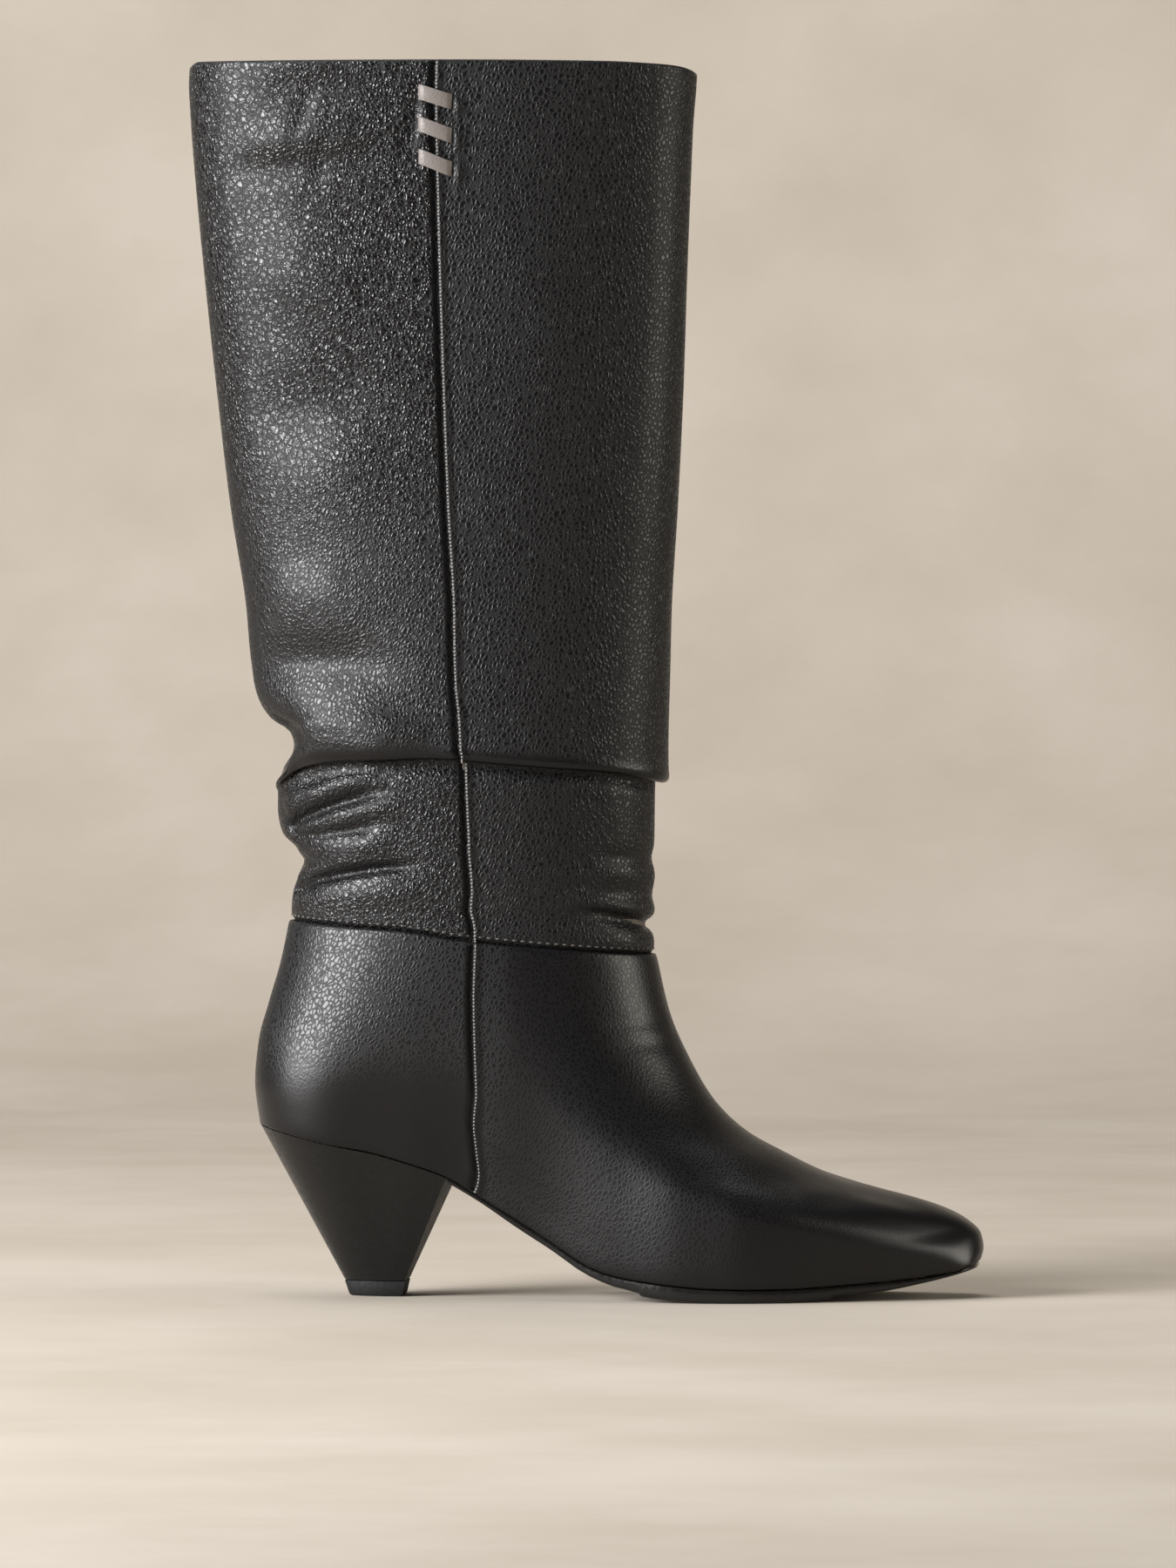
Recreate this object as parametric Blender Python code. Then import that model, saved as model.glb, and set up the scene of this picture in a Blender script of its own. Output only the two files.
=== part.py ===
"""Right slouch boot on a covered cone heel, built as separate leather, sole and heel pieces.

Sizes are in millimetres and become metres where a mesh is made. X runs from heel to toe, -Y is the
boot's outer side, +Z is up and Z 0 is the floor.
"""
from math import acos, cos, pi, sin

import bmesh
import bpy
from mathutils import Vector

MM = 0.001

# Driving sizes
HEEL_END = -112.8
TOE_END = 134.4
FOOT_WALL = 1.5
SHAFT_WALL = 1.5
FIT_GAP = 0.3
SEAT_GAP = 0.4
ANKLE_HALF_WIDTH = 35.0
FOLD_HALF_WIDTH = 34.6
COLLAR_HALF_WIDTH = 34.0
ANKLE_BACK = -102.7
ANKLE_FRONT = 23.4
BREAST_TOP = -46.6
HEEL_FOOT_BACK = -83.7
HEEL_FOOT_BREAST = -62.2
HEEL_FOOT_HALF_WIDTH = 10.5
TOP_PIECE_HEIGHT = 5.2
TOP_PIECE_TAPER = 1.8
INSOLE_THICKNESS = 2.2
INSOLE_INSET = 1.0
BALL_BULGE = 2.6
COUNTER_BULGE = 2.2

# Fold of the slouch: the upper shaft hangs over the lower one, and eases out at the back
FOLD_STEP = 4.8
FOLD_CREASE_RADIUS = 0.35
FOLD_OVERLAP_BACK = 0.8
FOLD_OVERLAP_FRONT = 14.0
FOLD_OPENS_AT = 0.07
OPEN_CREASE_RADIUS = 2.0
OPEN_ROLL_RADIUS = 3.0
OPEN_TURN = 0.45
OPEN_HEIGHT = 172.8
ROLLS_FADE_AT = 0.4
OVERLAP_GROWS_FROM = 0.1
PINCH_FADES_AT = 0.2
FOLD_ROLLS_FADE_AT = 0.012

# Side seams: the back panel dips under the front panel's edge
SEAM_DIP = 0.5
SEAM_DIP_NEAR = 0.7
SEAM_DIP_FAR = 4.0

# Thong whipped through slits across the outer side seam
THONG_WIDTH = 5.3
THONG_THICKNESS = 1.1
SLIT_BACK = -54.8
SLIT_FRONT = -43.9
THONG_TAIL = 7.0

COLUMNS_BEHIND_SEAM = 9
FOLD_STEPS = 4
COLUMNS_BEFORE_SEAM = 12
SIDES = {"outer": -1.0, "inner": 1.0}


def columns(names, *rows):
    """A short table, as one list of numbers for each named column."""
    return {name: [row[i] for row in rows] for i, name in enumerate(names.split())}


class Line:
    """A smooth line through a table's points that never swings past them."""

    def __init__(self, table, along, across):
        self.xs = table[along]
        self.ys = table[across]
        steps = [b - a for a, b in zip(self.xs, self.xs[1:])]
        rises = [(b - a) / step for a, b, step in zip(self.ys, self.ys[1:], steps)]
        inner = [2 * a * b / (a + b) if a * b > 0 else 0.0 for a, b in zip(rises, rises[1:])]
        self.slopes = [rises[0]] + inner + [rises[-1]]

    def __call__(self, x):
        xs = self.xs
        x = min(max(x, xs[0]), xs[-1])
        i = 0
        while i < len(xs) - 2 and x > xs[i + 1]:
            i += 1
        span = xs[i + 1] - xs[i]
        t = (x - xs[i]) / span
        start = (1 + 2 * t) * (1 - t) ** 2 * self.ys[i] + t * (1 - t) ** 2 * span * self.slopes[i]
        end = t * t * (3 - 2 * t) * self.ys[i + 1] + t * t * (t - 1) * span * self.slopes[i + 1]
        return start + end


# Last bottom seen from above: half-breadths of the feather edge at each station
PLAN = columns(
    "x outer inner",
    (-113, 27.5, 27.5),
    (-85, 28.5, 28.5),
    (-60, 28.5, 28.0),
    (-40, 27.0, 25.5),
    (-17, 28.0, 23.5),
    (12, 35.0, 25.0),
    (36, 40.5, 30.0),
    (52, 41.0, 34.0),
    (66, 38.0, 36.5),
    (87, 29.5, 35.0),
    (107, 20.0, 30.5),
    (122, 12.5, 26.5),
    (135, 6.5, 23.0),
)

# Feather edge seen from the side: seat, waist, ball and toe spring
FEATHER = columns(
    "x z",
    (-113, 59.2),
    (-104, 57.0),
    (-88, 53.2),
    (-72, 50.2),
    (-61, 47.1),
    (-48.6, 42.9),
    (-44, 40.7),
    (-40, 38.2),
    (-22, 27.2),
    (-10, 19.6),
    (2, 12.0),
    (7, 10.0),
    (12, 8.6),
    (20, 7.2),
    (30, 6.0),
    (46, 4.8),
    (62, 4.6),
    (75, 4.8),
    (87, 5.5),
    (103, 6.5),
    (115, 7.7),
    (127, 9.7),
    (135, 12.8),
)

# Underside of the sole, with the forefoot pad's steps
SOLE_BOTTOM = columns(
    "x z",
    (-46, 40.0),
    (-35, 33.4),
    (-22, 24.6),
    (-10, 17.0),
    (2, 9.1),
    (12, 5.1),
    (20, 3.2),
    (21, 2.2),
    (32, 0.8),
    (42, 0.0),
    (68, 0.0),
    (78, 0.5),
    (85, 1.1),
    (86, 2.1),
    (100, 3.0),
    (115, 5.6),
    (127, 8.4),
    (134, 10.6),
)

# Heel back seen from the side, from the feather edge up to the ankle edge
COUNTER_BACK = columns(
    "v x z",
    (0.0, -112.8, 59.2),
    (0.2, -114.5, 73.3),
    (0.4, -113.3, 87.3),
    (0.6, -109.6, 101.3),
    (0.8, -105.6, 115.1),
    (1.0, -102.7, 129.0),
)

# Toe and instep seen from the side, from the feather edge up to the ankle edge
INSTEP = columns(
    "v x z",
    (0.0, 134.4, 12.8),
    (0.04, 135.3, 16.8),
    (0.08, 134.3, 21.8),
    (0.12, 130.2, 25.8),
    (0.2, 117.3, 32.3),
    (0.3, 99.0, 37.8),
    (0.4, 82.0, 42.7),
    (0.5, 67.0, 49.9),
    (0.6, 54.7, 56.8),
    (0.7, 44.0, 66.8),
    (0.8, 35.0, 81.6),
    (0.9, 28.0, 97.8),
    (1.0, 23.4, 117.6),
)

# Ankle edge of the foot part, from back to front
ANKLE_EDGE = columns(
    "c z",
    (0.0, 129.0),
    (0.17, 127.4),
    (0.32, 126.2),
    (0.5, 122.8),
    (0.66, 120.8),
    (0.8, 119.4),
    (1.0, 117.6),
)

# How the foot part's ring ends round off, from the feather edge up
RING_ENDS = columns(
    "v back_radius back_power toe_radius toe_power",
    (0.0, 30.0, 2.2, 9.0, 3.6),
    (0.05, 31.0, 2.2, 20.0, 3.0),
    (0.12, 33.0, 2.2, 42.0, 2.5),
    (0.3, 38.0, 2.2, 62.0, 2.25),
    (0.6, 50.0, 2.15, 66.0, 2.15),
    (1.0, 63.0, 2.1, 63.0, 2.1),
)

# Side seams, as a share of the way from the back to the front
FOOT_SEAM = columns("v c", (0.0, 0.316), (0.11, 0.32), (0.35, 0.377), (0.6, 0.45), (0.75, 0.483),
                    (0.93, 0.52), (1.0, 0.533))
LOWER_SEAM = columns("z c", (120, 0.534), (136, 0.527), (152.6, 0.519), (170, 0.513), (200, 0.508))
UPPER_SEAM = columns("z c", (176, 0.5), (200, 0.506), (236, 0.5105), (280, 0.507), (325, 0.506),
                     (370, 0.507), (424, 0.505))

# Back edge of the lower shaft, with its pinch and the rolls above and below it
LOWER_BACK = columns(
    "z x",
    (130.4, -101.7),
    (134.0, -101.9),
    (138.8, -101.3),
    (143.8, -99.7),
    (148.8, -97.4),
    (152.3, -97.6),
    (155.3, -101.0),
    (157.8, -104.4),
    (162.8, -106.2),
    (167.8, -106.7),
    (172.8, -106.7),
)

# The same edge with the rolls left out, which the sides of the lower shaft follow
LOWER_BACK_CALM = columns("z x", (131.0, -101.7), (172.8, -104.0))

# Back edge of the upper shaft, with its pinch above the fold
UPPER_BACK = columns(
    "z x",
    (177.8, -105.9),
    (180.8, -104.2),
    (184.8, -101.4),
    (188.8, -100.8),
    (192.8, -102.0),
    (196.3, -107.0),
    (199.8, -110.6),
    (205.8, -113.7),
    (212.8, -115.3),
    (235.8, -117.5),
    (260.8, -121.6),
    (308.8, -127.5),
    (356.8, -132.6),
    (404.8, -136.7),
    (417.8, -137.2),
    (424.8, -136.6),
)

# The same edge with the pinch left out
UPPER_BACK_CALM = columns(
    "z x",
    (176.8, -109.4),
    (190.8, -111.0),
    (205.8, -113.7),
    (212.8, -115.3),
    (235.8, -117.5),
    (260.8, -121.6),
    (308.8, -127.5),
    (356.8, -132.6),
    (404.8, -136.7),
    (417.8, -137.2),
    (424.8, -136.6),
)

# Front edge of the lower shaft, under the fold, with its two creases
LOWER_FRONT = columns(
    "z x",
    (119.0, 22.4),
    (123.4, 22.5),
    (128.0, 20.9),
    (131.8, 22.2),
    (140.8, 22.6),
    (148.8, 22.3),
    (153.8, 22.7),
    (180.8, 23.1),
)

# Front edge of the upper shaft, from the fold up to the collar
UPPER_FRONT = columns(
    "z x",
    (176.8, 27.8),
    (186.8, 27.6),
    (212.8, 28.2),
    (236.8, 28.8),
    (260.8, 30.3),
    (308.8, 32.7),
    (356.8, 34.3),
    (404.8, 36.4),
    (418.8, 37.4),
    (424.8, 37.2),
)

# Shaft rows at the ankle edge: height above the edge, half the width, and the two ends
LAP_ROWS = columns(
    "rise half_width back front",
    (-7.0, 32.6, -100.5, 21.1),
    (-0.2, 32.6, -100.6, 21.3),
    (1.4, 33.8, -101.7, 22.4),
)

# Lower shaft's rows: heights at the back, the side seam and the front, and half the width
LOWER_ROWS = columns(
    "back side front half_width",
    (134.0, 128.4, 123.4, 34.0),
    (139.3, 133.4, 128.0, 34.0),
    (144.8, 139.8, 133.3, 34.2),
    (150.3, 146.3, 141.8, 34.3),
    (154.4, 152.3, 148.8, 34.3),
    (157.8, 158.3, 154.8, 34.4),
    (162.3, 166.3, 162.8, 34.5),
    (167.3, 175.3, 170.8, 34.6),
)

# Upper shaft's rows above the fold, from the slouch to just under the collar
UPPER_ROWS = columns(
    "back side front half_width",
    (206.8, 206.8, 206.8, 38.5),
    (216.8, 216.8, 216.8, 38.1),
    (236.8, 236.8, 236.8, 37.3),
    (268.8, 268.8, 268.8, 36.5),
    (308.8, 308.8, 308.8, 35.6),
    (348.8, 348.8, 348.8, 34.6),
    (378.8, 378.8, 378.8, 34.0),
    (404.8, 404.8, 404.8, 34.0),
    (416.8, 417.4, 414.0, 34.0),
)
PINCH_ROWS = (0.07, 0.18, 0.31, 0.45, 0.58, 0.72, 0.86)

# Collar edge, from back to front
COLLAR = columns(
    "c z",
    (0.0, 421.0),
    (0.02, 422.8),
    (0.5, 422.8),
    (0.83, 422.4),
    (0.925, 421.7),
    (0.96, 421.2),
    (0.985, 420.4),
    (1.0, 418.8),
)

# Lower edge of the hanging fold, from back to front
LIP = columns(
    "c z",
    (0.0, 176.0),
    (0.02, 177.6),
    (0.06, 180.6),
    (0.13, 183.2),
    (0.22, 184.8),
    (0.35, 185.0),
    (0.45, 184.6),
    (0.58, 183.2),
    (0.74, 181.4),
    (0.85, 180.2),
    (0.94, 178.4),
    (1.0, 176.1),
)

# Heights of the three outside bars of the thong where they leave and enter the slits
THONG_BARS = columns("back front", (411.7, 408.4), (400.8, 396.9), (389.8, 385.5))

plan = {side: Line(PLAN, "x", side) for side in SIDES}
feather = Line(FEATHER, "x", "z")
sole_bottom = Line(SOLE_BOTTOM, "x", "z")
counter_x = Line(COUNTER_BACK, "v", "x")
counter_z = Line(COUNTER_BACK, "v", "z")
instep_x = Line(INSTEP, "v", "x")
instep_z = Line(INSTEP, "v", "z")
ankle_edge = Line(ANKLE_EDGE, "c", "z")
ring_end = {name: Line(RING_ENDS, "v", name) for name in RING_ENDS if name != "v"}
foot_seam = Line(FOOT_SEAM, "v", "c")
lower_back = Line(LOWER_BACK, "z", "x")
lower_back_calm = Line(LOWER_BACK_CALM, "z", "x")
upper_back = Line(UPPER_BACK, "z", "x")
upper_back_calm = Line(UPPER_BACK_CALM, "z", "x")
lower_front = Line(LOWER_FRONT, "z", "x")
upper_front = Line(UPPER_FRONT, "z", "x")
lip = Line(LIP, "c", "z")
collar = Line(COLLAR, "c", "z")
lower_seam = Line(LOWER_SEAM, "z", "c")
upper_seam = Line(UPPER_SEAM, "z", "c")


def mix(a, b, share):
    """The value that lies the given share of the way from a to b."""
    return a + (b - a) * share


def ease(t):
    """A soft step from 0 to 1."""
    t = min(max(t, 0.0), 1.0)
    return t * t * (3 - 2 * t)


def nose(distance, radius, power):
    """How full an outline is at a distance from its end: 0 at the tip, 1 past the radius."""
    if distance >= radius:
        return 1.0
    return (1 - (1 - max(distance, 0.0) / radius) ** power) ** (1 / power)


def foot_profile(c, v):
    """Side view of the foot part, blended from its four edges: heel, toe, feather and ankle."""
    low_x = mix(HEEL_END, TOE_END, c)
    high_x = mix(ANKLE_BACK, ANKLE_FRONT, c)
    corner_x = mix(mix(HEEL_END, TOE_END, c), mix(ANKLE_BACK, ANKLE_FRONT, c), v)
    x = mix(low_x, high_x, v) + mix(counter_x(v), instep_x(v), c) - corner_x
    low_corners = mix(feather(HEEL_END), feather(TOE_END), c)
    high_corners = mix(ankle_edge(0.0), ankle_edge(1.0), c)
    z = mix(feather(low_x), ankle_edge(c), v) + mix(counter_z(v), instep_z(v), c)
    return x, z - mix(low_corners, high_corners, v)


def foot_point(c, v, side):
    """A point of the foot part's outer face."""
    x, z = foot_profile(c, v)
    heel_x, toe_x = counter_x(v), instep_x(v)
    back = nose(x - heel_x, ring_end["back_radius"](v), ring_end["back_power"](v))
    front = nose(toe_x - x, ring_end["toe_radius"](v), ring_end["toe_power"](v))
    bulge = mix(COUNTER_BULGE, BALL_BULGE, ease((c - 0.2) / 0.3)) * sin(pi * v ** 0.6)
    breadth = mix(plan[side](x), ANKLE_HALF_WIDTH, ease(v)) + bulge
    middle = 0.5 * (plan["inner"](x) - plan["outer"](x)) * (1 - ease(v))
    y = SIDES[side] * breadth * back * front
    return Vector((x, y + middle * (1 - back * front), z))


def shaft_ring(c, side, back_x, calm_x, front_x, half_width, z, fade_at):
    """A point of the oval that has the given back edge, front edge and half-width."""
    length = front_x - calm_x
    fade = max(0.0, 1 - c / fade_at) ** 2
    x = mix(calm_x, front_x, c) + (back_x - calm_x) * fade
    fullness = nose(c * length, length / 2, 2.1) * nose((1 - c) * length, length / 2, 2.1)
    return Vector((x, SIDES[side] * half_width * fullness, z))


def plain_row(rows, i, back_line, calm_line, front_line):
    """The ring of one row of the lower or upper shaft, as a function of place and side."""
    back, side_z, front = rows["back"][i], rows["side"][i], rows["front"][i]
    height = Line({"c": [0.0, 0.48, 1.0], "z": [back, side_z, front]}, "c", "z")

    def point(c, side):
        return shaft_ring(c, side, back_line(back), calm_line(back), front_line(front),
                          rows["half_width"][i], height(c), ROLLS_FADE_AT)
    return point


def lap_row(i):
    """The ring of one row that follows the foot part's ankle edge."""
    back, front = LAP_ROWS["back"][i], LAP_ROWS["front"][i]

    def point(c, side):
        z = ankle_edge(c) + LAP_ROWS["rise"][i]
        return shaft_ring(c, side, back, back, front, LAP_ROWS["half_width"][i], z, ROLLS_FADE_AT)
    return point


def fold_path(c):
    """The fold in section at one place round the shaft, as (out, height) along the leather.

    The leather turns outwards and down in a tight crease, runs down, and turns up again in a
    roll. At the back the turns are slight, and the fold eases out.
    """
    opened = 1 - max(0.0, 1 - c / FOLD_OPENS_AT) ** 2
    turn = mix(OPEN_TURN, pi, opened)
    crease = mix(OPEN_CREASE_RADIUS, FOLD_CREASE_RADIUS, opened)
    roll = mix(OPEN_ROLL_RADIUS, FOLD_STEP / 2 - FOLD_CREASE_RADIUS, opened)
    flat = mix(FOLD_OVERLAP_BACK, FOLD_OVERLAP_FRONT, ease((c - OVERLAP_GROWS_FROM) / 0.4))
    start = mix(OPEN_HEIGHT, lip(c) + flat + roll, opened)
    path = [(0.0, mix(OPEN_HEIGHT - 2, lip(c), opened))]
    for i in range(FOLD_STEPS + 1):
        angle = turn * i / FOLD_STEPS
        path.append((crease * (1 - cos(angle)), start + crease * sin(angle)))
    out, height = path[-1]
    out += flat * sin(turn)
    height += flat * cos(turn)
    for i in range(FOLD_STEPS + 1):
        angle = turn * (1 - i / FOLD_STEPS)
        path.append((out + roll * (cos(angle) - cos(turn)), height + roll * (sin(turn) - sin(angle))))
    return path


def fold_row(i):
    """The ring of one row of the fold."""
    def point(c, side):
        out, z = fold_path(c)[i]
        back = lower_back(OPEN_HEIGHT) - out
        calm = lower_back_calm(OPEN_HEIGHT) - out
        front = lower_front(LOWER_FRONT["z"][-1]) + out
        return shaft_ring(c, side, back, calm, front, FOLD_HALF_WIDTH + out, z,
                          FOLD_ROLLS_FADE_AT)
    return point


def pinch_row(share):
    """The ring of one row between the fold and the first plain row of the upper shaft."""
    top = UPPER_ROWS["back"][0]
    back_z = mix(fold_path(0.0)[-1][1], top, share)
    half_width = mix(FOLD_HALF_WIDTH + FOLD_STEP, UPPER_ROWS["half_width"][0], share)

    def point(c, side):
        z = mix(fold_path(c)[-1][1], top, share)
        return shaft_ring(c, side, upper_back(back_z), upper_back_calm(back_z), upper_front(z),
                          half_width, z, PINCH_FADES_AT)
    return point


def collar_row(c, side):
    """The shaft's top edge."""
    return shaft_ring(c, side, upper_back(COLLAR["z"][0]), upper_back_calm(COLLAR["z"][0]),
                      upper_front(COLLAR["z"][-1]), COLLAR_HALF_WIDTH, collar(c), ROLLS_FADE_AT)


def shaft_rows():
    """Every row of the shaft in order along the leather, each a function of place and side."""
    rows = [lap_row(i) for i in range(len(LAP_ROWS["rise"]))]
    rows += [plain_row(LOWER_ROWS, i, lower_back, lower_back_calm, lower_front)
             for i in range(len(LOWER_ROWS["back"]))]
    rows += [fold_row(i) for i in range(len(fold_path(0.5)))]
    rows += [pinch_row(share) for share in PINCH_ROWS]
    rows += [plain_row(UPPER_ROWS, i, upper_back, upper_back_calm, upper_front)
             for i in range(len(UPPER_ROWS["back"]))]
    return rows + [collar_row]


def shaft_seam(i, z):
    """Where the side seam crosses a row of the shaft, which changes line in the fold."""
    hanging_from = len(LAP_ROWS["rise"]) + len(LOWER_ROWS["back"]) + FOLD_STEPS + 2
    return lower_seam(z) if i < hanging_from else upper_seam(z)


def ring_places(seam, length):
    """Shares of the way from back to front for a ring's columns, with the seam's own columns."""
    turn = acos(1 - 2 * seam)
    behind = [(1 - cos(turn * i / COLUMNS_BEHIND_SEAM)) / 2 for i in range(COLUMNS_BEHIND_SEAM)]
    dip = [seam - SEAM_DIP_FAR / length, seam - SEAM_DIP_NEAR / length]
    before = [(1 - cos(mix(turn, pi, i / COLUMNS_BEFORE_SEAM))) / 2
              for i in range(COLUMNS_BEFORE_SEAM + 1)]
    return behind + dip + before


def seam_ring(point, seam, length):
    """One closed ring of points, with the back panel dipping under the front one at each seam."""
    places = ring_places(seam, length)
    dips = [SEAM_DIP if i == COLUMNS_BEHIND_SEAM + 1 else 0.0 for i in range(len(places))]
    ring = []
    for side, order in (("outer", range(len(places))), ("inner", range(len(places) - 2, 0, -1))):
        for i in order:
            spot = point(places[i], side)
            spot.y -= SIDES[side] * dips[i]
            ring.append(spot)
    return ring


def loft(bm, rings):
    """Rings of vertices joined into a tube, one ring above another."""
    loops = [[bm.verts.new(spot * MM) for spot in ring] for ring in rings]
    for low, high in zip(loops, loops[1:]):
        for i in range(len(low)):
            j = (i + 1) % len(low)
            bm.faces.new((low[i], low[j], high[j], high[i]))
    return loops


def finish(name, bm, material, parent):
    """A smooth shaded object made from the bmesh, under the boot's empty."""
    bmesh.ops.recalc_face_normals(bm, faces=bm.faces)
    mesh = bpy.data.meshes.new(name)
    bm.to_mesh(mesh)
    bm.free()
    mesh.shade_smooth()
    mesh.set_sharp_from_angle(angle=0.7)
    mesh.materials.append(material)
    piece = bpy.data.objects.new(name, mesh)
    piece.parent = parent
    bpy.context.scene.collection.objects.link(piece)
    return piece


def finish_material(name, colour, roughness):
    """A plain leather or rubber finish."""
    material = bpy.data.materials.new(name)
    material.use_nodes = True
    shader = material.node_tree.nodes["Principled BSDF"]
    shader.inputs["Base Color"].default_value = (*colour, 1.0)
    shader.inputs["Roughness"].default_value = roughness
    shader.inputs["Metallic"].default_value = 0.0
    return material


def add_wall(piece, thickness):
    """Thickness on the inner side of a shell, with its edges closed."""
    wall = piece.modifiers.new("wall", "SOLIDIFY")
    wall.thickness = thickness * MM
    wall.offset = -1.0
    wall.use_even_offset = False
    wall.use_rim = True


def make_upper(parent):
    """Foot part of the boot: vamp and counter in one hollow wall, open at ankle and underneath."""
    heights = (0.0, 0.025, 0.055, 0.09, 0.13, 0.18, 0.25, 0.33, 0.42, 0.52, 0.63, 0.75, 0.88, 1.0)
    rings = []
    for v in heights:
        length = instep_x(v) - counter_x(v)
        rings.append(seam_ring(lambda c, side, v=v: foot_point(c, v, side), foot_seam(v), length))
    bm = bmesh.new()
    loft(bm, rings)
    upper = finish("upper", bm, finish_material("black leather", (0.012, 0.011, 0.011), 0.42),
                   parent)
    add_wall(upper, FOOT_WALL)


def make_shaft(parent):
    """Slouched shaft: one wall that hangs over itself at the fold, with slits for the thong."""
    rings = []
    for i, row in enumerate(shaft_rows()):
        length = row(1.0, "outer").x - row(0.0, "outer").x
        rings.append(seam_ring(row, shaft_seam(i, row(0.48, "outer").z), length))
    bm = bmesh.new()
    loft(bm, rings)
    shaft = finish("shaft", bm, finish_material("black grained leather", (0.013, 0.012, 0.011), 0.4),
                   parent)
    add_wall(shaft, SHAFT_WALL)
    cut = shaft.modifiers.new("slits", "BOOLEAN")
    cut.operation = "DIFFERENCE"
    cut.solver = "EXACT"
    cut.object = make_slits(parent)


def make_slits(parent):
    """Cutter with one upright block for each slit of the thong."""
    width = THONG_THICKNESS + 4 * FIT_GAP
    height = THONG_WIDTH + 2 * FIT_GAP
    depth = 6 * SHAFT_WALL
    bm = bmesh.new()
    for x, ends in ((SLIT_BACK, THONG_BARS["back"]), (SLIT_FRONT, THONG_BARS["front"])):
        for z in ends:
            block = bmesh.ops.create_cube(bm, size=MM)["verts"]
            bmesh.ops.scale(bm, verts=block, vec=(width, depth, height))
            spot = Vector((x, -COLLAR_HALF_WIDTH, z))
            bmesh.ops.translate(bm, verts=block, vec=spot * MM)
    slits = finish("slit_cutter", bm, finish_material("cutter", (0.5, 0.5, 0.5), 0.5), parent)
    slits.hide_render = True
    slits.display_type = "WIRE"
    return slits


def thong_path():
    """Middle line of the thong, in and out of the slits from top to bottom."""
    clear = FIT_GAP + THONG_THICKNESS / 2
    surface = -COLLAR_HALF_WIDTH
    outside = surface - clear
    inside = surface + SHAFT_WALL + SEAM_DIP + clear
    bend = 1.2
    bars = list(zip(THONG_BARS["back"], THONG_BARS["front"]))
    yield Vector((SLIT_BACK + THONG_TAIL, inside, bars[0][0] + 1.5))
    yield Vector((SLIT_BACK + bend, inside, bars[0][0] + 0.3))
    for i, (back_z, front_z) in enumerate(bars):
        yield Vector((SLIT_BACK, inside - bend / 2, back_z))
        yield Vector((SLIT_BACK, outside + bend / 2, back_z))
        yield Vector((SLIT_BACK + bend, outside, mix(back_z, front_z, 0.11)))
        yield Vector((SLIT_FRONT - bend, outside, mix(back_z, front_z, 0.89)))
        yield Vector((SLIT_FRONT, outside + bend / 2, front_z))
        yield Vector((SLIT_FRONT, inside - bend / 2, front_z))
        if i + 1 < len(bars):
            yield Vector((SLIT_FRONT - bend, inside, mix(front_z, bars[i + 1][0], 0.11)))
            yield Vector((SLIT_BACK + bend, inside, mix(front_z, bars[i + 1][0], 0.89)))
    last = bars[-1][1]
    yield Vector((SLIT_FRONT - bend, inside, last - 0.3))
    yield Vector((SLIT_FRONT - THONG_TAIL, inside, last - 1.5))


def make_thong(parent):
    """Flat leather thong, three bars outside and its returns inside."""
    bm = bmesh.new()
    half = Vector((0, 0, THONG_WIDTH / 2))
    strip = [(bm.verts.new((spot - half) * MM), bm.verts.new((spot + half) * MM))
             for spot in thong_path()]
    for (low, high), (next_low, next_high) in zip(strip, strip[1:]):
        bm.faces.new((low, next_low, next_high, high))
    thong = finish("thong", bm, finish_material("taupe leather", (0.11, 0.09, 0.08), 0.55), parent)
    thickness = thong.modifiers.new("thickness", "SOLIDIFY")
    thickness.thickness = THONG_THICKNESS * MM
    thickness.offset = 0.0
    thickness.use_even_offset = True
    thickness.use_rim = True


def half_breadth(x, side, inset, toe_radius=9.0):
    """Half-breadth of the last bottom at a station, pulled in by an inset."""
    back = nose(x - HEEL_END - inset, ring_end["back_radius"](0), ring_end["back_power"](0))
    front = nose(TOE_END - inset - x, toe_radius, ring_end["toe_power"](0))
    middle = 0.5 * (plan["inner"](x) - plan["outer"](x))
    breadth = plan[side](x) - inset
    return SIDES[side] * breadth * back * front + middle * (1 - back * front)


def stations(start, end, count, extra=()):
    """Stations from start to end, close together at both ends, with the extra ones that fit."""
    spread = [mix(start, end, (1 - cos(pi * i / count)) / 2) for i in range(count + 1)]
    return spread + [x for x in extra if start < x < end]


def make_outsole(parent):
    """Thin sole from the heel breast to the toe, with a forefoot pad and a rounded edge."""
    edge = 0.5
    pad_steps = [20.0, 21.0, 42.0, 68.0, 85.0, 86.0]
    rings = []
    for x in sorted(stations(BREAST_TOP + 0.5, TOE_END - 1.0, 16, pad_steps + FEATHER["x"])):
        top = feather(x) - FIT_GAP
        bottom = sole_bottom(x)
        outer, inner = half_breadth(x, "outer", 0.6), half_breadth(x, "inner", 0.6)
        low_outer, low_inner = mix(outer, inner, 0.02), mix(outer, inner, 0.98)
        rings.append([
            Vector((x, outer, top)), Vector((x, outer, bottom + edge)),
            Vector((x, low_outer, bottom)), Vector((x, low_inner, bottom)),
            Vector((x, inner, bottom + edge)), Vector((x, inner, top)),
        ])
    bm = bmesh.new()
    loops = loft(bm, rings)
    bm.faces.new(loops[0])
    bm.faces.new(loops[-1])
    finish("outsole", bm, finish_material("black sole", (0.015, 0.014, 0.013), 0.35), parent)


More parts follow.
